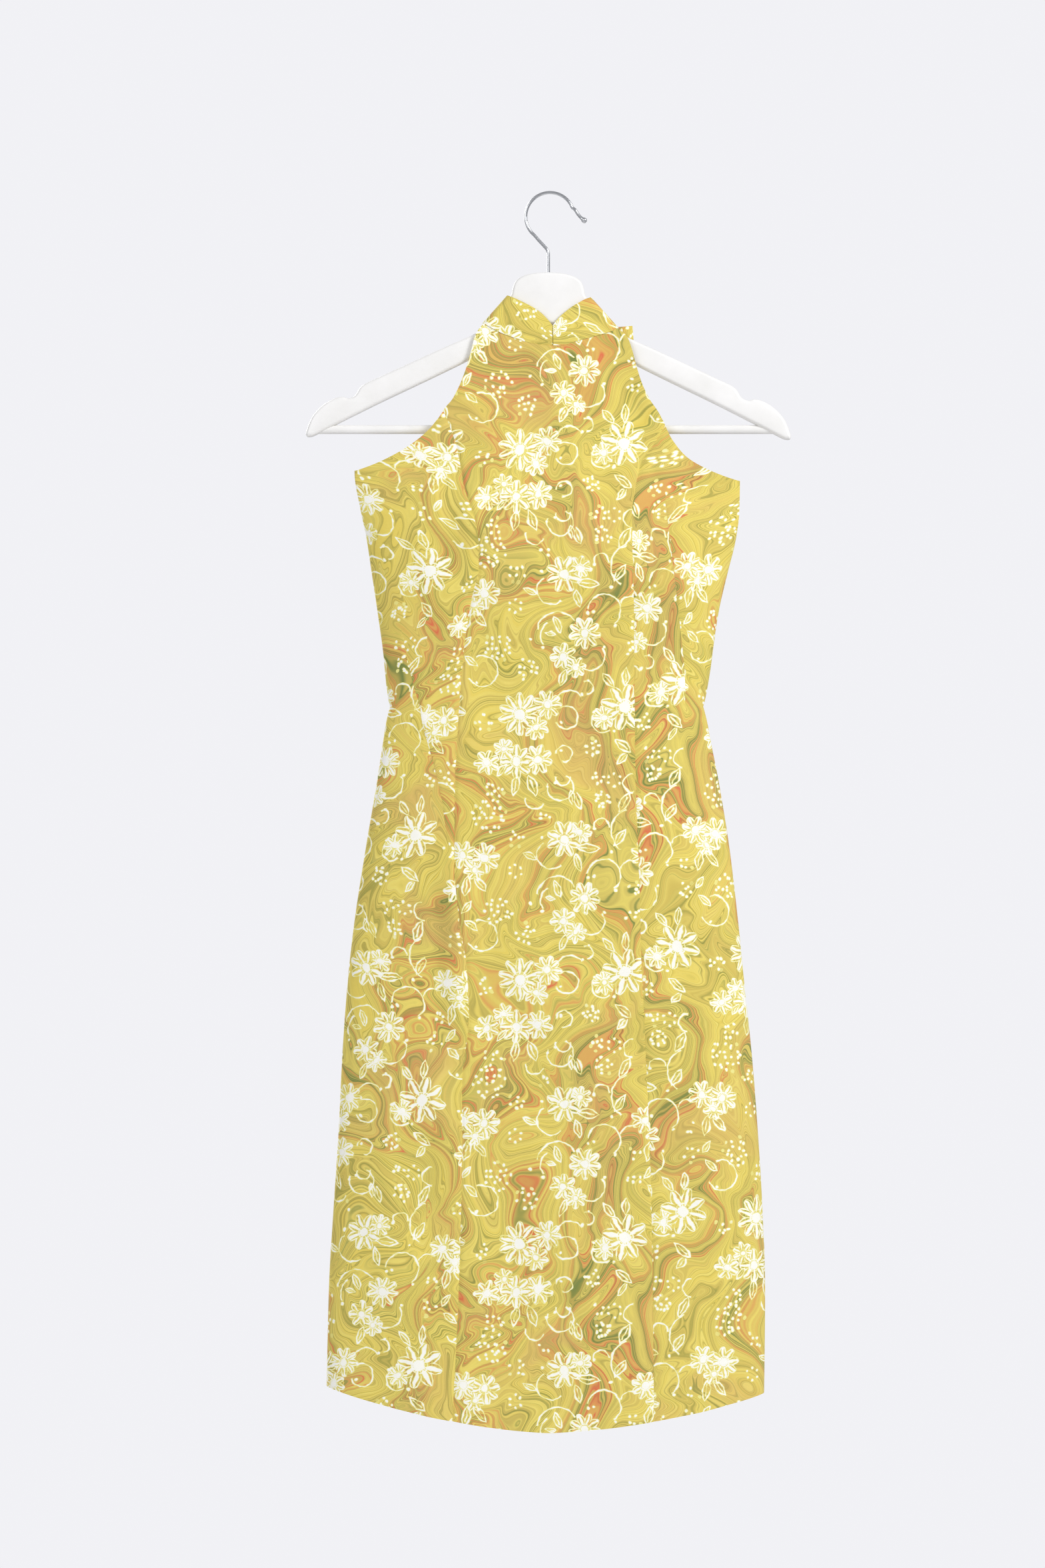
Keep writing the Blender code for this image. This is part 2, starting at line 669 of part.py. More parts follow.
def hanger_hook(group):
    """The wire hook, bent from the stem round to the knob on its tip."""
    first, final = HOOK_ARC
    path = list(HOOK_STEM)
    for step in range(HOOK_ARC_STEPS + 1):
        angle = math.radians(blend(first, final, step / HOOK_ARC_STEPS))
        x = HOOK_CENTRE[0] + HOOK_RADIUS * math.cos(angle)
        z = HOOK_CENTRE[1] + HOOK_RADIUS * math.sin(angle)
        path.append(HookPoint(x, z, 1.0))
    path += HOOK_TIP
    curve = bpy.data.curves.new("hanger_hook", "CURVE")
    curve.dimensions = "3D"
    curve.bevel_depth = WIRE_RADIUS * MM
    curve.bevel_resolution = 2
    curve.use_fill_caps = True
    spline = curve.splines.new("POLY")
    spline.points.add(len(path) - 1)
    for knot, p in zip(spline.points, path):
        knot.co = (p.x * MM, 0.0, p.z * MM, 1.0)
        knot.radius = p.radius
    shape = bpy.data.objects.new("hook_path", curve)
    bpy.context.scene.collection.objects.link(shape)
    mesh = clean_mesh_from(shape)
    bpy.data.objects.remove(shape, do_unlink=True)
    mesh.shade_smooth()
    return link("hanger_hook", mesh, "chrome", group)


def zip_pull(group):
    """The slider near the top of the zip, and the pull tab that swings on its pin."""
    z = back_top("left", 1.0) - SLIDER_DROP
    x = middle_x(z)
    out = face_y("back", x, z) + 2 * CLEARANCE
    slider = box("zip_slider", SLIDER, (x, out + SLIDER[1] / 2, z), "zip_metal", group)
    pin = (x, out + SLIDER[1] + 1.9, z + 2.0)
    for sign in (-1, 1):
        place = (x + sign * LUG_X, out + SLIDER[1] + LUG[1] / 2 - 0.4, pin[2])
        combine(slider, box(f"lug_{sign}", LUG, place, "zip_metal", group), "UNION")
    bar = cylinder("zip_pin", PIN_RADIUS, (x - LUG_X, pin[1], pin[2]), (x + LUG_X, pin[1], pin[2]),
                   "zip_metal", group, sides=16)
    combine(slider, bar, "UNION")
    eye = cylinder("zip_pull", EYE_RADIUS, (x - EYE_WIDTH / 2, pin[1], pin[2]),
                   (x + EYE_WIDTH / 2, pin[1], pin[2]), "zip_metal", group)
    outline = [(px, pz) for px, pz in PULL_OUTLINE] + [(-px, pz) for px, pz in PULL_OUTLINE[::-1]]
    half = PULL_THICKNESS / 2
    points = [Vector((px, dy, pz)) * MM for dy in (-half, half) for px, pz in outline]
    n = len(outline)
    faces = [tuple(range(n)), tuple(range(2 * n - 1, n - 1, -1))]
    faces += [(i, i + n, (i + 1) % n + n, (i + 1) % n) for i in range(n)]
    mesh = bpy.data.meshes.new("pull_plate")
    mesh.from_pydata(points, [], faces)
    work = bmesh.new()
    work.from_mesh(mesh)
    bmesh.ops.recalc_face_normals(work, faces=work.faces)
    work.to_mesh(mesh)
    work.free()
    plate = link("pull_plate", mesh, "zip_metal", group)
    plate.location = Vector(pin) * MM
    combine(eye, plate, "UNION")
    hole = cylinder("pull_hole", EYE_HOLE, (x - 4, pin[1], pin[2]), (x + 4, pin[1], pin[2]),
                    "zip_metal", group)
    combine(eye, hole, "DIFFERENCE")
    print("zip pin", [round(value, 3) for value in pin])


def build():
    clear_scene()
    parts = collection("halter_dress_on_hanger")
    tools = collection("cutters")
    board = hanger_board(parts)
    drill(board, "hook_hole", WIRE_RADIUS + HOLE_PLAY, (STEM_X, 0, -60), (STEM_X, 0, STEM_END - 0.5), tools)
    for sign in (-1, 1):
        drill(board, f"bar_hole_{sign}", BAR_RADIUS + HOLE_PLAY,
              (sign * 180, 0, BAR_Z), (sign * (BAR_END + 0.5), 0, BAR_Z), tools)
    cylinder("hanger_bar", BAR_RADIUS, (-BAR_END, 0, BAR_Z), (BAR_END, 0, BAR_Z), "painted_wood", parts)
    hanger_hook(parts)
    front_centre(parts)
    for side in ("left", "right"):
        front_side(side, parts)
        back_half(side, parts)
        collar_half(side, parts)
    zip_tape(parts)
    zip_pull(parts)


build()
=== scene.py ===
import bpy
import numpy as np
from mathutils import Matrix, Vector
from mathutils.geometry import tessellate_polygon


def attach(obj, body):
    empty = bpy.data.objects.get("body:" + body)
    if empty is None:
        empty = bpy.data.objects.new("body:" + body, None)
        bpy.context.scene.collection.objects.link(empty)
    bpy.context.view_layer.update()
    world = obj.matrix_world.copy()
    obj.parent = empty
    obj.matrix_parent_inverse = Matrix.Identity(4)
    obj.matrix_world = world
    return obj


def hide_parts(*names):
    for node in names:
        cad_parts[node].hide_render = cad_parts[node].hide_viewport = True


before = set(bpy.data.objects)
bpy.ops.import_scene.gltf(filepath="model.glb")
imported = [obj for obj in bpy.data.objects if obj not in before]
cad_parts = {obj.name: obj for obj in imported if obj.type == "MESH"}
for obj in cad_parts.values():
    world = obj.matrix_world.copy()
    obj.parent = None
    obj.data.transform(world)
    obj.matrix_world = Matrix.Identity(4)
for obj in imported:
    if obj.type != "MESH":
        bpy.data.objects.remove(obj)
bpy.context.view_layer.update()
print("frame:", len(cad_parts), "solids")

mm = 0.001
body = "dress"


def linear(hexColour):  # sRGB hex to the linear colour that nodes take
    value = np.array([int(hexColour[i : i + 2], 16) for i in (1, 3, 5)]) / 255
    value = np.where(value <= 0.04045, value / 12.92, ((value + 0.055) / 1.055) ** 2.4)
    return (*value.tolist(), 1.0)


def addNode(tree, kind, inputs=(), out=0, **settings):  # adds a node and gives back one output
    node = tree.nodes.new("ShaderNode" + kind)
    for name, value in settings.items():
        setattr(node, name, value)
    pairs = inputs.items() if isinstance(inputs, dict) else enumerate(inputs)
    for socket, value in pairs:
        if isinstance(value, bpy.types.NodeSocket):
            tree.links.new(value, node.inputs[socket])
        elif value is not None:
            node.inputs[socket].default_value = value
    return node.outputs[out] if node.outputs else node


def newMaterial(name):  # a material without nodes, and its node tree
    made = bpy.data.materials.new(name)
    made.use_nodes = True
    made.node_tree.nodes.clear()
    return made, made.node_tree


def finishMaterial(made, sockets):  # adds the shader with these sockets and the output
    shader = addNode(made.node_tree, "BsdfPrincipled", sockets)
    addNode(made.node_tree, "OutputMaterial", {"Surface": shader})
    return made


def noise(tree, place, scale, detail, out=0):
    return addNode(tree, "TexNoise", {"Vector": place, "Scale": scale, "Detail": detail}, out=out)


def wave(tree, place, scale, direction):
    return addNode(
        tree, "TexWave", {"Vector": place, "Scale": scale}, out=1, bands_direction=direction
    )


def ranged(tree, value, limits, clamp=True):  # limits: from, from, to, to
    return addNode(tree, "MapRange", (value, *limits), clamp=clamp)


def mixed(tree, share, first, second):  # a colour between two
    return addNode(tree, "Mix", {0: share, 6: first, 7: second}, out=2, data_type="RGBA")


def blend(a, b, share):
    return a + (b - a) * share


def ease(share):  # 0 to 1 with level ends
    share = np.clip(share, 0, 1)
    return share * share * (3 - 2 * share)


def through(xs, ys, at):  # cubic through a table's points, with slopes that never overshoot
    xs, ys = np.asarray(xs, float), np.asarray(ys, float)
    if xs[0] > xs[-1]:
        xs, ys = xs[::-1], ys[::-1]
    steps = np.diff(ys) / np.diff(xs)
    before, after = steps[:-1], steps[1:]
    same = before * after > 0
    middle = np.where(same, 2 * before * after / np.where(same, before + after, 1), 0)
    slopes = np.concatenate([steps[:1], middle, steps[-1:]])
    at = np.clip(at, xs[0], xs[-1])
    i = np.clip(np.searchsorted(xs, at, side="right") - 1, 0, len(xs) - 2)
    width = xs[i + 1] - xs[i]
    t = (at - xs[i]) / width
    return (
        (1 + 2 * t) * (1 - t) ** 2 * ys[i]
        + t * (1 - t) ** 2 * width * slopes[i]
        + t * t * (3 - 2 * t) * ys[i + 1]
        + t * t * (t - 1) * width * slopes[i + 1]
    )


def column(table, number, at):  # a table's column at these places in its first one
    return through(table[:, 0], table[:, number], at)


def gridFaces(rows, columns, start=0):  # quads of a grid of points, rows running down
    corner = (np.arange(rows - 1)[:, None] * columns + np.arange(columns - 1)).ravel() + start
    return np.stack([corner, corner + columns, corner + columns + 1, corner + 1], 1)


def tubeFaces(rings, sides):  # quads of a tube's wall, ring after ring
    i, j = np.meshgrid(np.arange(rings - 1) * sides, np.arange(sides), indexing="ij")
    k = (j + 1) % sides
    return np.stack([i + j, i + k, i + k + sides, i + j + sides], -1).reshape(-1, 4)


def addMesh(name, points, faces, material, sharp=None):  # points in mm, and rides with the dress
    mesh = bpy.data.meshes.new(name)
    mesh.from_pydata((points.reshape(-1, 3) * mm).tolist(), [], faces)
    mesh.shade_smooth()
    if sharp is not None:
        mesh.set_sharp_from_angle(angle=np.radians(sharp))
    mesh.materials.append(material)
    made = bpy.data.objects.new(name, mesh)
    bpy.context.scene.collection.objects.link(made)
    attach(made, body)
    return made


# A wall of cloth: a grid of points, the same grid moved out from the dress along its normals by the
# cloth's thickness, and the rim between them. uv is the place on the printed cloth.
def addWall(name, grid, uv, thickness, material):
    down, across = np.gradient(grid, axis=0), np.gradient(grid, axis=1)
    normal = np.cross(down, across)
    normal /= np.linalg.norm(normal, axis=2, keepdims=True)
    rows, columns = grid.shape[:2]
    count = rows * columns
    front = gridFaces(rows, columns)
    back = gridFaces(rows, columns, count)[:, ::-1]
    index = np.arange(count).reshape(rows, columns)
    rim = np.concatenate([index[0], index[1:, -1], index[-1, -2::-1], index[-2:0:-1, 0]])
    after = np.roll(rim, -1)
    side = np.stack([rim, after, after + count, rim + count], 1)
    faces = np.concatenate([front, back, side])[:, ::-1]
    points = np.concatenate([grid.reshape(-1, 3), (grid + normal * thickness).reshape(-1, 3)])
    made = addMesh(name, points, faces.tolist(), material, sharp=35.0)
    corners = np.empty(len(made.data.loops), int)
    made.data.loops.foreach_get("vertex_index", corners)
    place = np.concatenate([uv.reshape(-1, 2)] * 2)[corners].astype(np.float32)
    made.data.uv_layers.new(name="print").data.foreach_set("uv", place.ravel())
    made.data.validate()
    return made


# A tube along a path of points in mm, with a radius at each point. A ring's two directions are the
# path's sideways one and the cross product of it with the path.
def addTube(name, path, radius, material, sideways=(0, 1, 0), sides=16):
    along = np.gradient(path, axis=0)
    along /= np.linalg.norm(along, axis=1, keepdims=True)
    sideways = np.broadcast_to(np.asarray(sideways, float), path.shape)
    first = sideways - along * (sideways * along).sum(1, keepdims=True)
    first /= np.linalg.norm(first, axis=1, keepdims=True)
    second = np.cross(along, first)
    angle = np.arange(sides) * 2 * np.pi / sides
    ring = first[:, None] * np.cos(angle)[:, None] + second[:, None] * np.sin(angle)[:, None]
    radius = np.broadcast_to(np.asarray(radius, float), len(path))
    points = path[:, None] + ring * radius[:, None, None]
    last = (len(path) - 1) * sides
    faces = tubeFaces(len(path), sides).tolist()
    faces += [list(range(sides))[::-1], [last + n for n in range(sides)]]
    return addMesh(name, points, faces, material, sharp=50.0)


# ---- the shape of the dress, in mm: the part's, with finer folds added

dressShape = {
    "cloth": 1.1,
    "seamGap": 0.3,
    "sideLip": 2.0,
    "flatness": 2.3,
    "waistZ": -455.0,
    "waistNip": 3.0,
    "waistNipReach": 9.0,
    "hemSide": (-1057.0, -1063.0),
    "hemDrop": 33.0,
    "hemPower": 1.6,
    "princessTop": (-193.4, -206.5),
    "underarm": (-246.0, -255.0),
    "armholeBow": 6.5,
    "neckEnd": (-115.8, -120.4),
    "backDip": 42.0,
    "yokeRows": 5,
    "rows": 32,
    "zipRows": 13,
    "zipHalf": 1.7,
    "clearance": 0.3,
}

# columns: z, left, right, edge depth, front depth, back depth, roundness
bodyTable = np.array(
    [
        (-110, -172, 169, -5.8, -8, 6, 1), (-134, -172, 169, -5.9, -8.2, 6, 1),
        (-170, -172, 169, -5.9, -10.4, 6, 1), (-205, -172, 168, -5.2, -14.5, 6.5, 1),
        (-247, -172, 167.6, -3.4, -21, 7, 0.95), (-282, -166.4, 167, -2.2, -29, 8, 0.75),
        (-305, -161.6, 164.2, -1.5, -32, 9, 0.62), (-337, -156.8, 156.5, -1, -32, 9.5, 0.55),
        (-371, -151.7, 148.7, -0.6, -29, 9.5, 0.52), (-417, -145.8, 142.2, -0.2, -25.5, 9, 0.50),
        (-455, -143.6, 138, 0, -24, 9, 0.50), (-476, -145.6, 140.3, 0, -24.5, 9, 0.50),
        (-521, -152.2, 148.7, 0, -27, 9.5, 0.50), (-581, -162.3, 158.4, 0, -30, 10.5, 0.50),
        (-649, -172.7, 166.4, 0, -32, 11, 0.50), (-703, -178.6, 171.8, 0, -32, 11, 0.50),
        (-764, -183, 178.2, 0, -32, 11, 0.50), (-833, -186.4, 183.6, 0, -32.5, 11, 0.50),
        (-900, -190.8, 187.6, 0, -33, 11, 0.50), (-968, -194.8, 190, 0, -34, 11, 0.50),
        (-1110, -198, 188.4, 0, -36, 11, 0.50),
    ]
)
# columns: z, left, right
princessTable = np.array(
    [
        (-193.4, -94.3, 108), (-206.5, -89, 102), (-222, -83.5, 93), (-241, -79.2, 80.5),
        (-262, -75.5, 75.5), (-288, -67, 72), (-312, -62.8, 72.2), (-332, -62.8, 73),
        (-359, -68.7, 73.8), (-400, -75.4, 74.2), (-455, -80, 74.8), (-530, -83.6, 75.8),
        (-590, -84, 78), (-640, -80.4, 79.4), (-683, -73.6, 80.6), (-730, -71.6, 83.2),
        (-785, -77.4, 85.4), (-880, -77.8, 89), (-968, -80.4, 90.4), (-1110, -87.4, 91.6),
    ]
)
armholeTable = np.array(
    [
        (-115.8, -58.5, 56), (-120.4, -62.7, 60.3), (-127, -66.4, 68), (-138, -69.2, 72.5),
        (-152, -73, 76.2), (-169, -79, 81.5), (-184, -86.6, 88.6), (-193.4, -94.3, 95),
        (-206.5, -97, 102),
    ]
)
# the largest folds, columns: 1 on the front or -1 on the back, x and z of the top, x and z of the
# bottom, width, height
foldTable = np.array(
    [
        (1, -86, -540, -78, -800, 13, 3.2), (1, -103, -560, -98, -790, 12, -2.6),
        (1, -74, -225, -64, -370, 12, 2.6), (1, -92, -250, -86, -360, 13, -2.2),
        (1, 84, -262, 84, -350, 12, -3.4), (1, 62, -250, 66, -420, 11, 2.2),
        (1, 66, -140, 150, -262, 15, 2), (1, -66, -150, -140, -250, 16, 1.6),
        (1, 30, -600, 46, -1160, 26, 2.6), (1, -30, -700, -42, -1160, 24, -2.4),
        (1, 128, -560, 140, -1160, 22, 2.2), (1, -136, -620, -148, -1160, 22, 2.2),
        (-1, 60, -420, 84, -1160, 26, 2.4), (-1, -62, -420, -90, -1160, 26, 2.4),
        (-1, 118, -300, 130, -700, 24, -2), (-1, -118, -300, -132, -700, 24, -2),
    ]
)
# small drags and puckers, columns: face, x and z of one end, x and z of the other, width, height
dragTable = np.array(
    [
        (1, -141, -452, -96, -430, 5, 1.1), (1, -141, -458, -100, -470, 5, 1.2),
        (1, -138, -466, -92, -498, 7, -0.9), (1, 136, -452, 96, -432, 5, 1.1),
        (1, 136, -458, 98, -472, 5, 1.2), (1, 134, -468, 92, -500, 7, -0.9),
        (1, 118, -216, 146, -250, 4, 1.3), (1, 106, -216, 134, -262, 5, -1.1),
        (1, 90, -226, 82, -262, 4, 1.2), (1, 98, -236, 104, -290, 6, 1.2),
        (1, 70, -272, 92, -262, 4, -0.9), (1, -92, -214, -72, -280, 5, -1),
        (1, -112, -222, -96, -300, 6, 1), (1, -70, -292, -46, -310, 5, 0.8),
        (1, -84, -596, -60, -640, 6, 0.9), (1, -74, -690, -52, -735, 6, 0.8),
        (1, 78, -590, 56, -660, 8, 0.9), (1, -60, -128, -30, -190, 8, 0.9),
        (1, 58, -130, 36, -200, 8, 0.9), (-1, -120, -456, -70, -440, 6, 1),
        (-1, 118, -456, 70, -440, 6, 1), (-1, -120, -462, -66, -486, 7, 1),
        (-1, 118, -462, 66, -486, 7, 1),
    ]
)


def sideX(side, z):  # x of a side seam (0 left, 1 right), nipped in at the waist
    shape = dressShape
    nip = shape["waistNip"] * np.exp(-np.abs(z - shape["waistZ"]) / shape["waistNipReach"])
    return column(bodyTable, 1 + side, z) + (nip if side == 0 else -nip)


def middleX(z):
    return (sideX(0, z) + sideX(1, z)) / 2


def princessX(side, z):
    return column(princessTable, 1 + side, z)


def across(x, z):  # -1 at the left side seam, 1 at the right one
    left, right = sideX(0, z), sideX(1, z)
    return np.clip((2 * x - left - right) / (right - left), -1, 1)


# Slack cloth: bent waves added together, each height * sin(2 pi * way / length + bend), with
# lengths from 17 mm up and most of them running down the dress. Each swells and fades in places.
slackShape = {
    "shortest": 17.0,
    "step": 1.33,
    "waves": 7,
    "slope": 0.0085,
    "seed": 5,
    "turn": (0.35, 0.55),  # mean and spread of a wave's direction off level, in radians
    "bend": 1.7,
    "least": 0.35,  # share of its height that a wave keeps where it fades
}


def crumple(face, x, z):
    shape = slackShape
    draw = np.random.default_rng(shape["seed"] + face)
    total = 0.0
    for count in range(shape["waves"]):
        length = shape["shortest"] * shape["step"] ** count
        turn = draw.normal(*shape["turn"])
        phase, lean = draw.uniform(0, 6.3, 3), draw.uniform(-1, 1)
        way = x * np.cos(turn) + z * np.sin(turn) * 0.6
        bend = shape["bend"] * np.sin(z / length / 1.9 + lean * x / length + phase[1])
        swell = np.sin(x / length / 2.3 - z / length / 2.9 + phase[2]) ** 2
        here = shape["least"] + (1 - shape["least"]) * swell
        ripple = np.sin(2 * np.pi * way / length + bend + phase[0])
        total = total + shape["slope"] * length * here * ripple
    return total


# How far folds stand off. A fold is a bump across its line, exp(-(off / width)^2), that swells and
# fades along it as a squared sine.
def foldDepth(face, x, z):
    total = np.zeros(np.broadcast(x, z).shape)
    for which, x0, z0, x1, z1, width, height in foldTable:
        if which == face:
            along = np.clip((z - z0) / (z1 - z0), 0, 1)
            off = (x - blend(x0, x1, along)) / width
            total += height * np.exp(-off * off) * np.sin(np.pi * along) ** 2
    for which, x0, z0, x1, z1, width, height in dragTable:
        if which == face:
            length = np.hypot(x1 - x0, z1 - z0)
            ux, uz = (x1 - x0) / length, (z1 - z0) / length
            along = ((x - x0) * ux + (z - z0) * uz) / length
            off = ((z - z0) * ux - (x - x0) * uz) / width
            swell = np.where((along > 0) & (along < 1), np.sin(np.pi * np.clip(along, 0, 1)), 0)
            total += height * np.exp(-off * off) * swell
    return total + crumple(face, x, z)


def faceDepth(face, x, z):  # y of the dress's outer face: a flattened tube with folds
    shape = dressShape
    edge = column(bodyTable, 3, z) - face * shape["sideLip"]
    middle = column(bodyTable, 4 if face > 0 else 5, z)
    u = across(x, z)
    share = (1 - np.abs(u) ** shape["flatness"]) ** column(bodyTable, 6, z)
    return blend(edge, middle, share) - face * foldDepth(face, x, z) * (1 - u**6)


def hemZ(side, x):  # height of the hem, lower at the middle than at the side seams
    shape = dressShape
    u = across(x, shape["hemSide"][side])
    level = blend(shape["hemSide"][0], shape["hemSide"][1], (u + 1) / 2)
    return level - shape["hemDrop"] * (1 - np.abs(u) ** shape["hemPower"])


# The sewn edge rolls in: the cloth dips towards a seam by a bell curve of the distance to it, with
# small puckers along it where the thread pulls.
seamRoll = {"dip": 1.1, "reach": 2.2, "pucker": 0.42, "puckerReach": 9.0, "spacing": 11.0}


def seamDip(distance, z):
    roll = seamRoll
    ripple = np.sin(z * 2 * np.pi / roll["spacing"] + 2 * np.sin(z / 29))
    pucker = roll["pucker"] * ripple * np.exp(-distance / roll["puckerReach"])
    return roll["dip"] * np.exp(-((distance / roll["reach"]) ** 2)) + pucker


def closeEnds(count, pull=0.8):  # 0 to 1, with the steps closer together near both ends
    t = np.linspace(0, 1, count)
    return t - pull * np.sin(2 * np.pi * t) / (2 * np.pi)


# The hem is turned up: the cloth stands prouder over the doubled strip and dips at its stitches
hemTurn = {"height": 13.0, "proud": 0.35, "dip": 0.4, "reach": 1.3}


def hemRelief(above):
    turn = hemTurn
    dip = turn["dip"] * np.exp(-(((above - turn["height"]) / turn["reach"]) ** 2))
    return turn["proud"] * (above < turn["height"]) * ease(above / 2) - dip


print("shape tables ready")

# ---- batik cotton

# Cotton lawn, plain woven, marbled with dye and then wax-resist printed: matt, slightly uneven,
# with white drawn lines that have a pale yellow fringe where the dye crept under the wax.
batik = {
    "tile": (160.0, 233.0),
    "line": 1.45,
    "petalLine": 1.2,
    "wobble": 1.6,
    "press": 2.0,  # mm that the line's edge moves as the pen is pressed
    "white": "#FBFAF0",
    "fringe": "#EDE58C",
    "threadSpacing": 1.1,  # real threads are 0.25 mm apart, drawn coarser so that they show
    "blob": 1.55,
    "dots": {"spacing": 5.4, "radius": 1.5, "scatter": 0.8},
    "wreath": {"radius": 5.5, "dabs": 6, "dab": 1.35},
    # shares of a leaf's length, but "veinHalf", the vein's half width, in mm
    "leaf": {"width": 0.19, "reach": 0.52, "vein": 0.30, "veinHalf": 0.5},
    # shares of a flower's radius, but "width" is a share of radius / petals, "dab" a share of a
    # petal's half width, and "tipRadius" and "ringHalf" are in mm
    "flower": {
        "start": 0.22,
        "width": 3.5,
        "dab": 0.44,
        "tip": 0.88,
        "tipRadius": 1.45,
        "eye": 0.25,
        "ring": 0.34,
        "ringHalf": 0.6,
    },
    # distance off a line in mm where the fringe and the white start and are full
    "fringeEdge": (0.34, 0.06),
    "whiteEdge": (-0.24, -0.46),
    # marbling. Bends: noise scale in 1/mm and reach in mm
    "bends": ((0.009, 190.0), (0.026, 44.0)),
    "stretch": (1.0, 0.55, 1.0),
    "fieldScale": 0.015,
    "fineLines": 70.0,
    "fineHeight": 0.62,
    "combLines": 120.0,
    "combHalf": 0.045,
    # flowers: x, y, radius, petals, turn
    "flowers": [
        (92, 46, 16.4, 8, 0), (110, 98, 14.5, 9, 0.3), (91, 118, 12.1, 7, 0.1),
        (53, 169, 19.4, 10, 0), (77, 161, 13.3, 9, 0.4), (145, 163, 20.6, 8, 0.2),
        (50, 211, 15.2, 8, 0.5), (69, 209, 13.3, 8, 0.2), (24, 212, 11.6, 7, 0),
        (22, 63, 14, 8, 0.7), (3, 60, 12.8, 8, 0.1), (67, 181, 11.6, 8, 0.2),
        (39, 200, 9.9, 7, 0.5), (106, 40, 10.5, 8, 0.3), (127, 172, 11, 8, 0.6),
        (13, 73, 9.9, 7, 0.2), (102, 128, 9.9, 7, 0.7),
    ],
    # leaves: x, y, length, turn in degrees, y running down
    "leaves": [
        (113, 54, 20, 5), (104, 67, 16, 75), (62, 61, 13, 25), (86, 90, 15, 70), (80, 98, 9, 10),
        (91, 137, 15, 110), (141, 45, 17, -55), (145, 14, 19, -62), (131, 139, 15, 50),
        (146, 136, 16, -88), (144, 197, 18, 40), (143, 208, 13, -50), (49, 232, 18, 100),
        (64, 232, 19, 70), (104, 12, 16, 72), (6, 87, 18, 100), (18, 85, 17, 50), (6, 106, 12, -55),
        (10, 122, 14, 40), (99, 10, 14, 78), (37, 218, 12, 130),
    ],
    # scrolls: x, y, radius, first and last degree, y running down
    "scrolls": [
        (80.5, 60, 12.5, 50, 235), (127, 78, 14.5, 190, 410), (86, 97, 18, 190, 325),
        (84, 100, 13, 150, 235), (115, 118, 12.5, -30, 130), (97, 160, 12, 205, 325),
        (112, 146, 5.5, 250, 440), (94, 172, 10, -120, 150), (126, 175, 10, 55, 215),
        (88.5, 234, 11.5, -60, 195), (92, 204, 7, -170, 95), (91, 226, 6.5, -10, 190),
        (20, 131, 13.5, -110, 150), (152, 39, 19, 125, 250), (124.5, 35, 6.8, -200, 0),
        (152, 230, 8, 95, 270), (150, 74, 9, 200, 300), (66, 12, 8, 20, 190),
    ],
    # round blobs at the ends and forks of scrolls: x, y
    "blobs": [
        (72.7, 44), (62, 103), (73, 110), (118, 37), (113, 80), (118, 79), (105, 87), (137, 91),
        (127.5, 110), (104, 126), (108, 152), (113, 140), (89, 176), (118, 167), (77, 233),
        (89, 201), (84, 229), (15, 141), (133, 57), (136, 184),
    ],
    # clusters of dots: x, y, radius
    "clusters": [
        (26, 26, 15), (50, 45, 8), (34, 110, 13), (59, 129, 10), (21, 176, 8), (126, 12, 8),
        (116, 198, 8), (122, 226, 7), (30, 238, 9), (152, 112, 8), (75, 25, 6), (154, 90, 6),
    ],
    # wreaths of six dabs: x, y
    "wreaths": [(49, 74), (125, 10), (117, 200), (136, 227)],
    # marbled ground: place on the ramp and colour
    "ground": [
        (0.00, "#A9A24E"),
        (0.06, "#D3BD5E"),
        (0.13, "#EBD870"),
        (0.24, "#E6CF60"),
        (0.28, "#B3A650"),
        (0.31, "#DECA62"),
        (0.40, "#EFDD74"),
        (0.46, "#D8C062"),
        (0.51, "#E8D368"),
        (0.56, "#C2B058"),
        (0.61, "#E9D66C"),
        (0.69, "#DFBD60"),
        (0.735, "#DDA75C"),
        (0.76, "#DE6E4C"),
        (0.78, "#D5B45E"),
        (0.83, "#B5A855"),
        (0.87, "#7B8847"),
        (0.90, "#CDBB60"),
        (1.00, "#E9D66C"),
    ],
    "drift": 0.0034,  # per mm: the colours change from side to side, so most streaks run down
    "tan": "#D2A468",
    "moss": "#76833F",
}


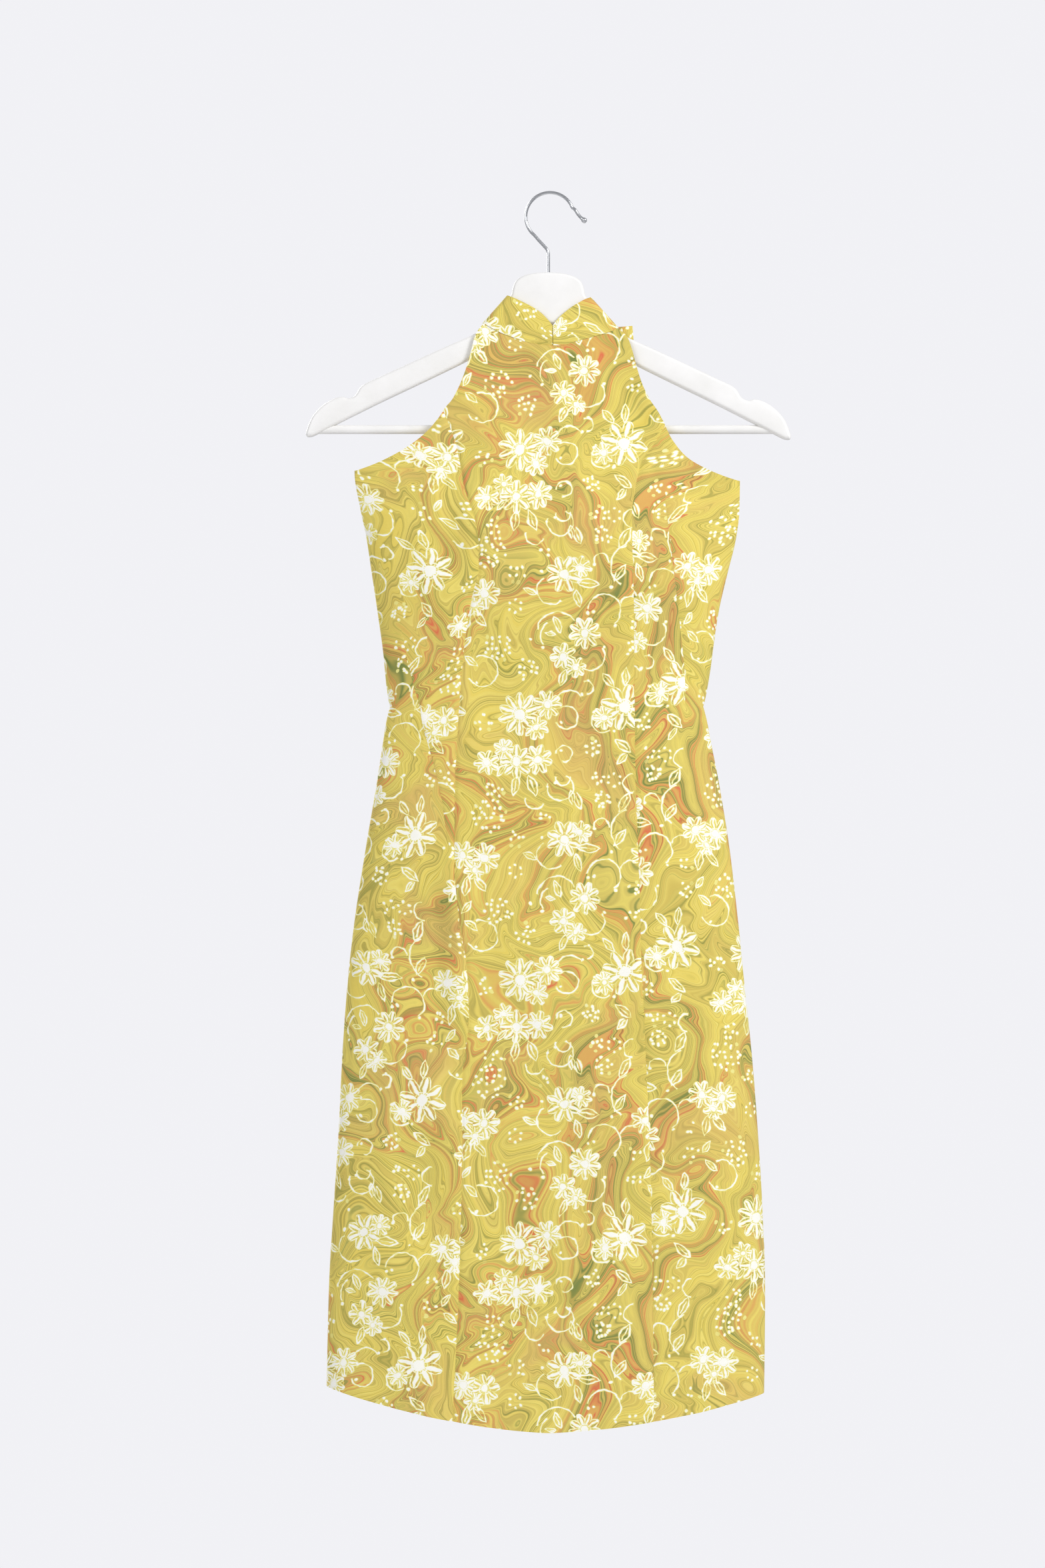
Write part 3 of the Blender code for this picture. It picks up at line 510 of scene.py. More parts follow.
def batikCotton():
    made, tree = newMaterial("batikCotton")
    wide, high = batik["tile"]
    half = (wide / 2, high / 2, 1.0)
    centred = (0.5, 0.5, 0.5)
    lineHalf = batik["line"] / 2

    def do(operation, *values):
        return addNode(tree, "Math", values, operation=operation)

    def vector(operation, *values):
        return addNode(tree, "VectorMath", values, operation=operation)

    def length(value):
        return addNode(tree, "VectorMath", (value,), out="Value", operation="LENGTH")

    def part(value, axis):
        return addNode(tree, "SeparateXYZ", (value,), out=axis)

    def apart(a, b):
        return do("ABSOLUTE", do("SUBTRACT", a, b))

    def least(soFar, value):
        return value if soFar is None else do("MINIMUM", soFar, value)

    def chosen(share, first, second):  # one of two vectors
        return addNode(tree, "Mix", {0: share, 4: first, 5: second}, out=1, data_type="VECTOR")

    def streaks(value, fineness, detail):  # noise along one number
        sockets = {"W": do("MULTIPLY", value, fineness), "Scale": 1.0, "Detail": detail}
        return addNode(tree, "TexNoise", sockets, noise_dimensions="1D")

    cloth = addNode(tree, "UVMap", uv_map="print")
    place = addNode(tree, "VectorMath", {0: cloth, "Scale": 1 / mm}, operation="SCALE")

    # marbling: slow noise bends the cloth's coordinates twice, a third reads as combed colour, and
    # fine lines follow that field because they are worked out from it alone
    bent = place
    for scale, reach in batik["bends"]:
        bend = vector("SUBTRACT", noise(tree, bent, scale, 1.0, "Color"), centred)
        bent = vector("MULTIPLY_ADD", bend, (reach, reach, 0.0), bent)
    field = noise(tree, vector("MULTIPLY", bent, batik["stretch"]), batik["fieldScale"], 1.0)
    field = do("MULTIPLY_ADD", part(bent, 0), batik["drift"], field)
    fine = streaks(field, batik["fineLines"], 2.0)
    spread = ranged(tree, field, (0.30, 0.70, 0.0, 2.0), clamp=False)
    fine = do("MULTIPLY_ADD", fine, batik["fineHeight"], spread)
    fine = do("PINGPONG", do("SUBTRACT", fine, batik["fineHeight"] / 2), 1.0)
    ramp = tree.nodes.new("ShaderNodeValToRGB")
    stops = ramp.color_ramp.elements
    for position, colour in batik["ground"][1:-1]:
        stops.new(position)
    for stop, (position, colour) in zip(stops, batik["ground"]):
        stop.position, stop.color = position, linear(colour)
    tree.links.new(fine, ramp.inputs[0])
    tan = ranged(tree, noise(tree, bent, 0.011, 1.0), (0.52, 0.68, 0.0, 0.42))
    ground = mixed(tree, tan, ramp.outputs[0], linear(batik["tan"]))
    lines = apart(streaks(field, batik["combLines"], 1.0), 0.5)
    lines = ranged(tree, lines, (batik["combHalf"], 0.0, 0.0, 1.0))
    where = ranged(tree, noise(tree, bent, 0.02, 0.0), (0.45, 0.65, 0.08, 0.62))
    ground = mixed(tree, do("MULTIPLY", lines, where), ground, linear(batik["moss"]))

    # the drawing hand: a small wobble of all lines
    hand = vector("SUBTRACT", noise(tree, place, 0.14, 1.0, "Color"), centred)
    pen = vector("MULTIPLY_ADD", hand, (batik["wobble"] * 2, batik["wobble"] * 2, 0.0), place)
    press = do("MULTIPLY", part(hand, 2), batik["press"])

    def local(centre, at=pen):  # a point seen from a motif's centre, in the repeat that is nearest
        seen = vector("SUBTRACT", at, (*centre, 0.0))
        return vector("WRAP", seen, half, (-half[0], -half[1], -1.0))

    # the motif that is nearest for its size: the point seen from its centre, its numbers, and the
    # distance as a share of its size
    def nearest(rows):
        best = seen = facts = None
        for x, y, *numbers in rows:
            numbers = tuple(float(n) for n in numbers) + (0.0,) * (3 - len(numbers))
            at = local((x, y))
            far = do("MULTIPLY", length(at), 1 / numbers[0])
            if best is None:
                best, seen, facts = far, at, addNode(tree, "CombineXYZ", numbers)
                continue
            nearer = do("LESS_THAN", far, best)
            seen = chosen(nearer, seen, at)
            facts = chosen(nearer, facts, numbers)
            best = do("MINIMUM", best, far)
        return seen, facts, best

    # scrolls: the distance to a circle, kept only on the side of it that the arc covers, which is
    # where the point's direction has a large enough part along the arc's middle direction
    drawn = None
    for x, y, radius, first, last in batik["scrolls"]:
        middle, reach = np.radians((first + last) / 2), np.radians(last - first) / 2
        at = local((x, y))
        far = length(at)
        away = (-float(np.cos(middle)), -float(np.sin(middle)), 0.0)
        off = addNode(tree, "VectorMath", (at, away), out="Value", operation="DOT_PRODUCT")
        off = do("MULTIPLY_ADD", far, float(np.cos(reach)), off)
        drawn = least(drawn, do("MAXIMUM", apart(far, radius), off))
    drawn = do("SUBTRACT", drawn, lineHalf)

    blobs = None
    for centre in batik["blobs"]:
        blobs = least(blobs, length(local(centre)))
    drawn = least(drawn, do("SUBTRACT", blobs, batik["blob"]))

    # leaves: two arcs with a short vein, half width = width * length * (1 - (2x / length)^2)
    leaf = batik["leaf"]
    rows = [(x, y, size, -np.radians(turn)) for x, y, size, turn in batik["leaves"]]
    seen, facts, _ = nearest(rows)
    size, turn = part(facts, 0), part(facts, 1)
    turned = addNode(tree, "VectorRotate", {"Vector": seen, "Angle": turn}, rotation_type="Z_AXIS")
    along, off = part(turned, 0), do("ABSOLUTE", part(turned, 1))
    along = do("ABSOLUTE", do("DIVIDE", along, size))
    width = do("MULTIPLY_ADD", do("MULTIPLY", along, along), -4 * leaf["width"], leaf["width"])
    edge = apart(off, do("MULTIPLY", width, size))
    beyond = do("MULTIPLY", do("SUBTRACT", along, leaf["reach"]), size)
    edge = do("SUBTRACT", do("MAXIMUM", edge, beyond), lineHalf)
    vein = do("MULTIPLY", do("SUBTRACT", along, leaf["vein"]), size)
    vein = do("MAXIMUM", vein, do("SUBTRACT", off, leaf["veinHalf"]))
    drawn = least(drawn, do("MINIMUM", edge, vein))

    # flowers in polar coordinates: a petal's half width over its length t is
    # width * radius / petals * sqrt(t * (1 - t)), an outline with dabs inside, round a ringed eye
    flower = batik["flower"]
    seen, facts, best = nearest(batik["flowers"])
    size, petals, turn = (part(facts, axis) for axis in range(3))
    x, y = part(seen, 0), part(seen, 1)
    angle = do("MULTIPLY", do("ARCTAN2", y, x), 1 / (2 * np.pi))
    angle = apart(do("FRACT", do("MULTIPLY_ADD", angle, petals, turn)), 0.5)
    far = do("MULTIPLY", best, size)
    off = do("DIVIDE", do("MULTIPLY", do("MULTIPLY", angle, far), 2 * np.pi), petals)
    along = ranged(tree, best, (flower["start"], 1.0, 0.0, 1.0))
    width = do("POWER", do("MULTIPLY", along, do("SUBTRACT", 1.0, along)), 0.5)
    width = do("MULTIPLY", width, do("MULTIPLY", do("DIVIDE", size, petals), flower["width"]))
    petal = do("SUBTRACT", apart(off, width), batik["petalLine"] / 2)
    petal = least(petal, do("MULTIPLY_ADD", width, -flower["dab"], off))
    tip = do("MULTIPLY_ADD", size, -flower["tip"], far)
    tip = length(addNode(tree, "CombineXYZ", (off, tip, 0.0)))
    petal = least(petal, do("SUBTRACT", tip, flower["tipRadius"]))
    petal = do("MAXIMUM", petal, do("SUBTRACT", far, size))
    eye = do("MULTIPLY_ADD", size, -flower["eye"], far)
    ring = do("ABSOLUTE", do("MULTIPLY_ADD", size, -flower["ring"], far))
    eye = least(eye, do("SUBTRACT", ring, flower["ringHalf"]))
    drawn = do("SUBTRACT", least(drawn, least(petal, eye)), press)

    # dots: one round dab in each cell of a scatter, kept where the cell's point is in a cluster
    dots = batik["dots"]
    sockets = {"Vector": pen, "Scale": 1 / dots["spacing"], "Randomness": dots["scatter"]}
    scatter = addNode(tree, "TexVoronoi", sockets, voronoi_dimensions="2D").node.outputs
    groups = None
    for x, y, radius in batik["clusters"]:
        far = length(local((x, y), scatter["Position"]))
        groups = least(groups, do("SUBTRACT", far, radius))
    dabs = do("MULTIPLY_ADD", scatter["Distance"], dots["spacing"], -dots["radius"])
    drawn = least(drawn, do("MAXIMUM", dabs, groups))

    # wreaths: dabs round a ring
    wreath = batik["wreath"]
    seen, _, best = nearest([(x, y, 1.0) for x, y in batik["wreaths"]])
    x, y = part(seen, 0), part(seen, 1)
    angle = do("MULTIPLY", do("ARCTAN2", y, x), wreath["dabs"] / (2 * np.pi))
    angle = do("SUBTRACT", do("FRACT", angle), 0.5)
    angle = do("MULTIPLY", angle, wreath["radius"] * 2 * np.pi / wreath["dabs"])
    off = do("SUBTRACT", best, wreath["radius"])
    dabs = length(addNode(tree, "CombineXYZ", (off, angle, 0.0)))
    drawn = least(drawn, do("SUBTRACT", dabs, wreath["dab"]))

    # fringe first, then the white where a line is thick enough
    fringe = ranged(tree, drawn, (*batik["fringeEdge"], 0.0, 1.0))
    core = ranged(tree, drawn, (*batik["whiteEdge"], 0.0, 1.0))
    colour = mixed(tree, fringe, ground, linear(batik["fringe"]))
    colour = mixed(tree, core, colour, linear(batik["white"]))

    # weave: two sets of threads crossing, with slow crumples under them
    thread = 2 * np.pi / batik["threadSpacing"] / 20  # a wave texture's own unit is 20 / (2 pi)
    weave = do("MAXIMUM", wave(tree, place, thread, "X"), wave(tree, place, thread, "Y"))
    slow = noise(tree, place, 0.045, 3.0)
    height = do("MULTIPLY_ADD", slow, 14.0, weave)
    bump = addNode(tree, "Bump", {"Strength": 0.35, "Distance": 0.00012, "Height": height})
    return finishMaterial(
        made,
        {
            "Base Color": colour,
            "Roughness": ranged(tree, slow, (0.3, 0.7, 0.78, 0.9)),
            "Normal": bump,
            "Specular IOR Level": 0.25,
            "Sheen Weight": 0.08,
            "Sheen Roughness": 0.6,
        },
    )


batikMaterial = batikCotton()
print("batik cotton:", len(batikMaterial.node_tree.nodes), "nodes")

# ---- the panels

panels = {
    "centreColumns": 66,
    "sideColumns": 40,
    "backColumns": 52,
    "rowsPerStep": 6,
    "lipColumns": 3,
    # how the printed cloth lies under each piece: moved by x and y in mm, and turned in degrees
    "layout": {
        "frontCentre": (79.5, -525.9, 0.0),
        "frontSideLeft": (34.0, 61.0, 1.0),
        "frontSideRight": (101.0, -37.0, -1.0),
        "backLeft": (12.0, 140.0, 0.5),
        "backRight": (88.0, 20.0, -0.5),
        "collarLeft": (20.0, 15.0, 4.0),
        "collarRight": (95.0, 120.0, -6.0),
    },
}


def onCloth(name, x, y):  # place on the printed cloth, in metres
    moveX, moveY, turn = panels["layout"][name]
    turn = np.radians(turn)
    movedX = x * np.cos(turn) - y * np.sin(turn) + moveX
    movedY = x * np.sin(turn) + y * np.cos(turn) + moveY
    return np.stack([movedX, movedY], -1) * mm


def pathLength(points):  # length along a path from its first point
    return np.concatenate([[0], np.cumsum(np.linalg.norm(np.diff(points, axis=0), axis=1))])


def rowLengths(points):  # level length along each row from its first point
    step = np.linalg.norm(np.diff(points[..., :2], axis=1), axis=2)
    return np.concatenate([np.zeros((len(points), 1)), np.cumsum(step, axis=1)], 1)


def finishCloth(node):
    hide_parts(node)


# columns: foot x, foot z, top x, top z, distance off the first layer
collarShape = {
    "cloth": 1.4,
    "depth": 7.7,
    "power": 3.5,
    "proud": 0.35,
    "front": (
        np.array(
            [
                (2.5, -135.2, 2.2, -117.6, 0), (-6, -134.8, -1.2, -113.2, 0),
                (-19, -132.6, -7.6, -106.6, 0), (-33, -127.9, -17, -100.4, 0),
                (-44, -123.7, -25.5, -96.1, 0), (-53.3, -118.7, -32.4, -92.9, 0),
            ]
        ),
        np.array(
            [
                (3.1, -135.2, 2.8, -117.6, 0), (12, -135, 6.4, -112.6, 0),
                (23, -131.6, 13.2, -106, 0), (35, -128.4, 20.6, -100.4, 0),
                (46, -125.4, 27.4, -96.4, 0), (55, -122.6, 31.4, -94.2, 0),
            ]
        ),
    ),
    "fold": (
        np.array((-58.5, -115.5, -37.1, -91.4, 0.0)),
        np.array((60.3, -120.1, 35.9, -93.1, 0.0)),
    ),
    "back": (
        np.array(
            [
                (-41, -129, -22, -101, 0.4), (-24, -138.5, -11, -107.5, 1.75),
                (5, -145.5, 8, -112.5, 1.75), (30, -149, 31, -116, 1.75),
                (52, -150, 51.5, -117, 1.75), (67, -149.4, 65.6, -116.4, 2.2),
                (76.6, -148.3, 73.7, -115.3, 4.6),
            ]
        ),
        np.array(
            [
                (44, -131.5, 23, -102, 0), (28, -138, 12.5, -108, 0), (12, -142, 4.5, -110.5, 0),
            ]
        ),
    ),
}


def neckSeam():  # x and z of the neck seam, left to right, at the collar's foot
    shape = collarShape
    left = np.vstack([shape["front"][0], shape["fold"][0]])[::-1, :2]
    right = np.vstack([shape["front"][1], shape["fold"][1]])[:, :2]
    middle = ((left[-1] + right[0]) / 2)[None]
    return np.vstack([left[:-1], middle, right[1:]])


# Centre front: x runs between the armholes and then between the princess seams as s goes from 0 to
# 1, and z falls from the neck seam to the hem with the row
def frontCentre():
    shape = dressShape
    steps = shape["yokeRows"] + shape["rows"] - 1
    row = np.linspace(0, steps, steps * panels["rowsPerStep"] + 1)[:, None]
    s = closeEnds(panels["centreColumns"])[None]
    yoke = row / shape["yokeRows"]
    down = np.clip(row - shape["yokeRows"], 0, None) / (shape["rows"] - 1)
    above = row < shape["yokeRows"]
    ends, hems = [], []
    for side in (0, 1):
        hem = hemZ(side, princessX(side, shape["hemSide"][side]))
        top = shape["princessTop"][side]
        z = np.where(above, blend(shape["neckEnd"][side], top, yoke), blend(top, hem, down))
        armhole = column(armholeTable, 1 + side, z)
        x = np.where(above, armhole, princessX(side, z))
        x = x + np.where(above, 0, shape["seamGap"] / 2 * (1 if side == 0 else -1))
        ends.append((x, z))
        hems.append(hem)
    x = blend(ends[0][0], ends[1][0], s)
    z = blend(ends[0][1], ends[1][1], s)
    neck = neckSeam()
    neckX = blend(neck[0, 0], neck[-1, 0], s)
    sag = blend(*shape["neckEnd"], s) - np.interp(neckX, neck[:, 0], neck[:, 1])
    sag = (sag + shape["seamGap"]) * np.clip(np.minimum(s, 1 - s) / 0.03, 0, 1)
    drop = blend(hems[0], hems[1], s) - np.where(s < 0.5, hemZ(0, x), hemZ(1, x))
    z = z - sag * (1 - ease(row / 9)) - drop * ease(down)
    toSeam = np.minimum(x - ends[0][0], ends[1][0] - x)
    y = faceDepth(1, x, z) + seamDip(toSeam, z) * ease((row - 3) / 3) - hemRelief(z - z[-1:])
    outer = np.stack([x, y, z], -1)
    uv = onCloth("frontCentre", x, -z)
    piece = addWall("frontCentre", outer, uv, shape["cloth"], batikMaterial)
    finishCloth("front_centre")


# A pressed dart takes cloth in on each side front: the line dips a little, and the print breaks
# across it by the width that is taken in. Columns of "lines": z, place between the side seam at 0
# and the princess seam at 1, width taken in.
darts = {
    "gap": 0.25,
    "dip": 0.55,
    "reach": 1.7,
    "lines": (
        np.array(
            [
                (-330, 0.34, 0), (-384, 0.24, 0), (-413, 0.28, 8), (-470, 0.46, 18),
                (-525, 0.73, 20), (-554, 0.84, 15), (-581, 0.90, 7), (-600, 0.945, 0),
                (-640, 0.90, 0), (-760, 0.52, 0),
            ]
        ),
        np.array(
            [
                (-262, 0.66, 0), (-288, 0.71, 0), (-312, 0.67, 6), (-350, 0.58, 14),
                (-391, 0.45, 18), (-440, 0.31, 15), (-466, 0.26, 6), (-482, 0.25, 0),
                (-560, 0.42, 0),
            ]
        ),
    ),
}


def fromSide(count):  # 0 to 1, with the steps closest together at the side seam
    share = 1 - np.cos(np.linspace(0, 1, count) * np.pi / 2)
    return blend(share, closeEnds(count, 0.6), 0.35)


def turnBack(face, y, z):  # at the side seam the first columns run in depth to the other side's
    lip = panels["lipColumns"]
    edge = column(bodyTable, 3, z[:, :lip]) - face * dressShape["seamGap"] / 2
    y[:, :lip] = blend(edge, y[:, lip : lip + 1], np.arange(lip) / lip)


# Side front: s goes from the side seam, where the cloth turns back to meet the back, to the
# princess seam, and down from the armhole to the hem. Two columns follow the dart's line.
def frontSide(side, name, node):
    shape = dressShape
    sign = -1 if side == 0 else 1
    rows = (shape["rows"] - 1) * panels["rowsPerStep"] + 1
    down = np.linspace(0, 1, rows)[:, None]
    share = fromSide(panels["sideColumns"])
    lip = panels["lipColumns"]
    line = darts["lines"][side]
    height = blend(shape["underarm"][side], shape["hemSide"][side], down)
    place = column(line, 1, height)
    half = darts["gap"] / 2 / np.abs(princessX(side, height) - sideX(side, height))
    before = int(np.searchsorted(share, 0.5))
    s = np.concatenate(
        [
            np.zeros((rows, lip)),
            share[:before] / share[before - 1] * (place - half),
            1 - (1 - share[before:]) / (1 - share[before]) * (1 - place - half),
        ],
        1,
    )
    top = blend(shape["underarm"][side], shape["princessTop"][side], s)
    top = top - shape["armholeBow"] * 4 * s * (1 - s)
    guess = blend(sideX(side, shape["hemSide"][side]), princessX(side, shape["hemSide"][side]), s)
    z = blend(top, hemZ(side, guess), down)
    x = blend(sideX(side, z), princessX(side, z), s) + sign * shape["seamGap"] / 2 * (s == 1)
    takenIn = column(line, 2, height)
    toDart = x - blend(sideX(side, height), princessX(side, height), place)
    seam = princessX(side, z)
    y = faceDepth(1, x, z)
    y = y + seamDip(np.abs(x - seam), z) * ease(s) - hemRelief(z - z[-1:]) * ease(s * 6)
    y = y + darts["dip"] * np.exp(-((toDart / darts["reach"]) ** 2)) * ease(takenIn / 5)
    turnBack(1, y, z)
    outer = np.stack([x, y, z], -1)
    moved = takenIn / 2 * np.where(np.arange(s.shape[1]) < lip + before, sign, -sign)
    if side == 1:
        outer, moved = outer[:, ::-1], moved[:, ::-1]
    length = rowLengths(outer)
    if side == 0:
        length = length - length[:, -1:]
    uv = onCloth(name, length + moved, -outer[..., 2])
    piece = addWall(name, outer, uv, shape["cloth"], batikMaterial)
    finishCloth(node)


def backTop(side, s):
    shape = dressShape
    middle = sum(shape["underarm"]) / 2 - shape["backDip"]
    return blend(shape["underarm"][side], middle, ease(s))


# Back: s goes from the side seam to the centre back
def backHalf(side, name, node):
    shape = dressShape
    sign = -1 if side == 0 else 1
    steps = shape["rows"] - 1
    row = np.linspace(0, steps, steps * panels["rowsPerStep"] + 1)[:, None]
    lip = panels["lipColumns"]
    s = np.concatenate([np.zeros(lip), fromSide(panels["backColumns"])])[None]
    guess = blend(sideX(side, shape["hemSide"][side]), middleX(shape["hemSide"][side]), s)
    z = blend(backTop(side, s), hemZ(side, guess), row / steps)
    x = blend(sideX(side, z), middleX(z), s)
    opening = shape["zipHalf"] + shape["clearance"]
    opening = blend(opening, shape["seamGap"] / 2, ease(row - shape["zipRows"]))
    x = x + sign * opening * (s == 1)
    y = faceDepth(-1, x, z)
    y = y - seamDip(np.abs(x - middleX(z)), z) * ease(s) * ease((row - shape["zipRows"]) / 2)
    y = y + hemRelief(z - z[-1:]) * ease(s * 6)
    turnBack(-1, y, z)
    outer = np.stack([x, y, z], -1)
    if side == 0:
        outer = outer[:, ::-1]
    length = rowLengths(outer)
    uv = onCloth(name, length if side == 0 else length - length[:, -1:], -outer[..., 2])
    piece = addWall(name, outer, uv, shape["cloth"], batikMaterial)
    finishCloth(node)


# Half of the collar: columns run along the band from the centre front, over the fold at the
# hanger's edge, to its end behind, and rows from the free edge to the neck seam
def collarHalf(side, name, node):
    shape = collarShape
    front, fold, back = shape["front"][side], shape["fold"][side], shape["back"][side]
    last = front[-1]

    def smooth(rows, at):  # the table's rows joined by curves, read at these row numbers
        return np.array([through(np.arange(len(rows)), rows[:, k], at) for k in range(5)]).T

    bands = [smooth(front, np.linspace(0, len(front) - 1, 41))]
    depths = [np.full(41, -shape["depth"])]
    turn = np.linspace(-np.pi / 2, np.pi / 2, 33)[1:]
    share = np.abs(np.cos(turn)) ** (2 / shape["power"])
    share[-1] = 0
    bands.append(last + (fold - last) * share[:, None])
    depths.append(shape["depth"] * np.sign(turn) * np.abs(np.sin(turn)) ** (2 / shape["power"]))
    tail = np.vstack([last, back])
    at = np.linspace(0, len(tail) - 1, 12 * (len(tail) - 1) + 1)[1:]
    bands.append(smooth(tail, at))
    depths.append(np.full(len(at), shape["depth"]) + bands[-1][:, 4])
    bands, depths = np.concatenate(bands), np.concatenate(depths)
    up = closeEnds(15)[:, None]
    x = blend(bands[:, 2], bands[:, 0], up)
    z = blend(bands[:, 3], bands[:, 1], up)
    # the interfaced band is a little proud between its edges
    proud = np.sign(depths) * shape["proud"] * np.sin(np.pi * up) * (np.abs(depths) > 7)
    y = depths + proud
    outer = np.stack([x, y, z], -1)
    if side == 0:
        outer = outer[:, ::-1]
    flat = 0 * outer[..., 0]  # the middle row and one column give the lengths for all of them
    uv = onCloth(name, pathLength(outer[7]) + flat, pathLength(outer[:, 20])[:, None] + flat)
    piece = addWall(name, outer, uv, shape["cloth"], batikMaterial)
    finishCloth(node)


frontCentre()
frontSide(0, "frontSideLeft", "front_side_left")
frontSide(1, "frontSideRight", "front_side_right")
backHalf(0, "backLeft", "back_left")
backHalf(1, "backRight", "back_right")
collarHalf(0, "collarLeft", "collar_left")
collarHalf(1, "collarRight", "collar_right")
print("panels done")

# ---- hanger


def paintedWood():  # beech under satin white lacquer: slightly glossy, faint grain and roller marks
    made, tree = newMaterial("satinPaintedBeech")
    place = addNode(tree, "TexCoord", out="Object")
    grain = addNode(tree, "Mapping", {"Vector": place, "Scale": (60.0, 400.0, 400.0)})
    grain = noise(tree, grain, 1.0, 4.0)
    wear = ranged(tree, noise(tree, place, 35.0, 3.0), (0.35, 0.7, 0.0, 1.0))
    colour = mixed(tree, wear, linear("#F4F3F1"), linear("#ECEBE8"))
    rough = ranged(tree, wear, (0.0, 1.0, 0.34, 0.46))
    bump = addNode(tree, "Bump", {"Strength": 0.25, "Distance": 0.00015, "Height": grain})
    return finishMaterial(made, {"Base Color": colour, "Roughness": rough, "Normal": bump})


def chromedWire():  # drawn steel wire, nickel and chrome plated: a near mirror, faint drawing lines
    made, tree = newMaterial("chromedSteelWire")
    lines = noise(tree, addNode(tree, "TexCoord", out="Object"), 900.0, 2.0)
    rough = ranged(tree, lines, (0.3, 0.7, 0.12, 0.24))
    bump = addNode(tree, "Bump", {"Strength": 0.1, "Distance": 0.00005, "Height": lines})
    colour = linear("#C9CBCE")
    sockets = {"Base Color": colour, "Metallic": 1.0, "Roughness": rough, "Normal": bump}
    return finishMaterial(made, sockets)


woodMaterial, wireMaterial = paintedWood(), chromedWire()

hangerShape = {
    "board": 12.0,
    "rounding": 3.0,
    "slope": 0.006,
    "x": -1.2,
    "barRadius": 4.0,
    "barZ": -209.0,
    "barEnd": 206.0,
    # half outline: x, z, and 1 where the outline turns a corner
    "outline": np.array(
        [
            (0, -69.8, 0), (14.7, -70.9, 0), (25, -74.4, 0), (30.2, -79.6, 0), (33, -91, 1),
            (54.4, -116.6, 1), (67.4, -125.6, 0), (91, -136.2, 1), (151, -163.9, 1),
            (165.6, -171.4, 0), (171.6, -180, 0), (177.5, -182.5, 0), (182.5, -181.2, 0),
            (190, -182.8, 0), (200.5, -189.2, 0), (209.3, -198.8, 0), (214.2, -210.4, 0),
            (214.6, -216.2, 0), (209, -216.4, 1), (186, -204.6, 1), (151, -187, 1),
            (73.6, -149.5, 0), (32, -127, 0), (0, -115.5, 0),
        ]
    ),
}


# The board: its outline as a closed curve, carried through a rounded section. At angle a of the
# rounding the outline is moved in by rounding * (1 - sin a), and its depth is less by
# rounding * (1 - cos a).
def hangerBoard():
    shape = hangerShape
    right = shape["outline"]
    left = right[-2:0:-1] * (-1, 1, 1)
    knots = np.vstack([right, left])
    n = len(knots)
    points = []
    t = np.linspace(0, 1, 9)[:-1, None]
    p = knots[:, :2]

    def slope(chord, size):  # the direction of a chord, as long as the piece
        return chord / max(np.hypot(*chord), 1) * size

    for i in range(n):  # a Hermite piece between each two knots of the short table
        a, b = p[i], p[(i + 1) % n]
        chord = b - a
        size = np.hypot(*chord)
        slopeA = chord if knots[i, 2] else slope(b - p[i - 1], size)
        slopeB = chord if knots[(i + 1) % n, 2] else slope(p[(i + 2) % n] - a, size)
        points.append(
            (2 * t**3 - 3 * t**2 + 1) * a
            + (t**3 - 2 * t**2 + t) * slopeA
            + (-2 * t**3 + 3 * t**2) * b
            + (t**3 - t**2) * slopeB
        )
    line = np.concatenate(points)
    line = (line + np.roll(line, 1, 0) + np.roll(line, -1, 0)) / 3
    along = np.roll(line, -1, 0) - np.roll(line, 1, 0)
    inward = np.stack([along[:, 1], -along[:, 0]], 1)
    inward /= np.linalg.norm(inward, axis=1, keepdims=True)
    step = np.linspace(0, np.pi / 2, 6)
    move = shape["rounding"] * (1 - np.sin(step))
    depth = shape["board"] / 2 - shape["rounding"] * (1 - np.cos(step))
    move = np.concatenate([move, move[::-1]])
    depth = np.concatenate([-depth, depth[::-1]])
    rings = line[None] + inward[None] * move[:, None, None]
    x = rings[..., 0] + shape["x"]
    z = rings[..., 1] - shape["slope"] * rings[..., 0]
    y = depth[:, None] + 0 * x
    count, size = x.shape
    faces = tubeFaces(count, size).tolist()
    last = (count - 1) * size
    cap = np.array(tessellate_polygon([[Vector((*p, 0)) for p in rings[0].tolist()]]))
    if np.cross(*(rings[0][cap[0, 1:]] - rings[0][cap[0, 0]])) < 0:
        cap = cap[:, ::-1]
    faces += cap.tolist() + (cap[:, ::-1] + last).tolist()
    made = addMesh("hangerBoard", np.stack([x, y, z], -1), faces, woodMaterial, sharp=40.0)
    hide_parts("hanger_board")


hangerBoard()

barPath = np.tile([0.0, 0.0, hangerShape["barZ"]], (61, 1))
barPath[:, 0] = np.linspace(-1, 1, 61) * hangerShape["barEnd"]
bar = addTube("trouserBar", barPath, hangerShape["barRadius"], woodMaterial, sides=32)
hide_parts("hanger_bar")

hookShape = {
    "wire": 1.4,
    "centre": (0.2, -20.1),
    "radius": 21.5,
    "arc": (230.0, 22.0),
    # x, z, share of the wire's radius
    "stem": np.array(
        [
            (-1.2, -82, 1), (-1.2, -56, 1), (-1.3, -52, 1), (-2, -49.8, 1), (-4.6, -46.6, 1),
            (-9.6, -41.2, 1),
        ]
    ),
    "tip": np.array(
        [
            (22.4, -13.8, 1), (25, -17.8, 1), (27.7, -20.9, 1), (29, -22, 1.2), (29.6, -22.5, 1.6),
            (30.4, -23.1, 1.75), (31.3, -23.8, 1.65), (32, -24.3, 1.3), (32.5, -24.6, 0.7),
        ]
    ),
}


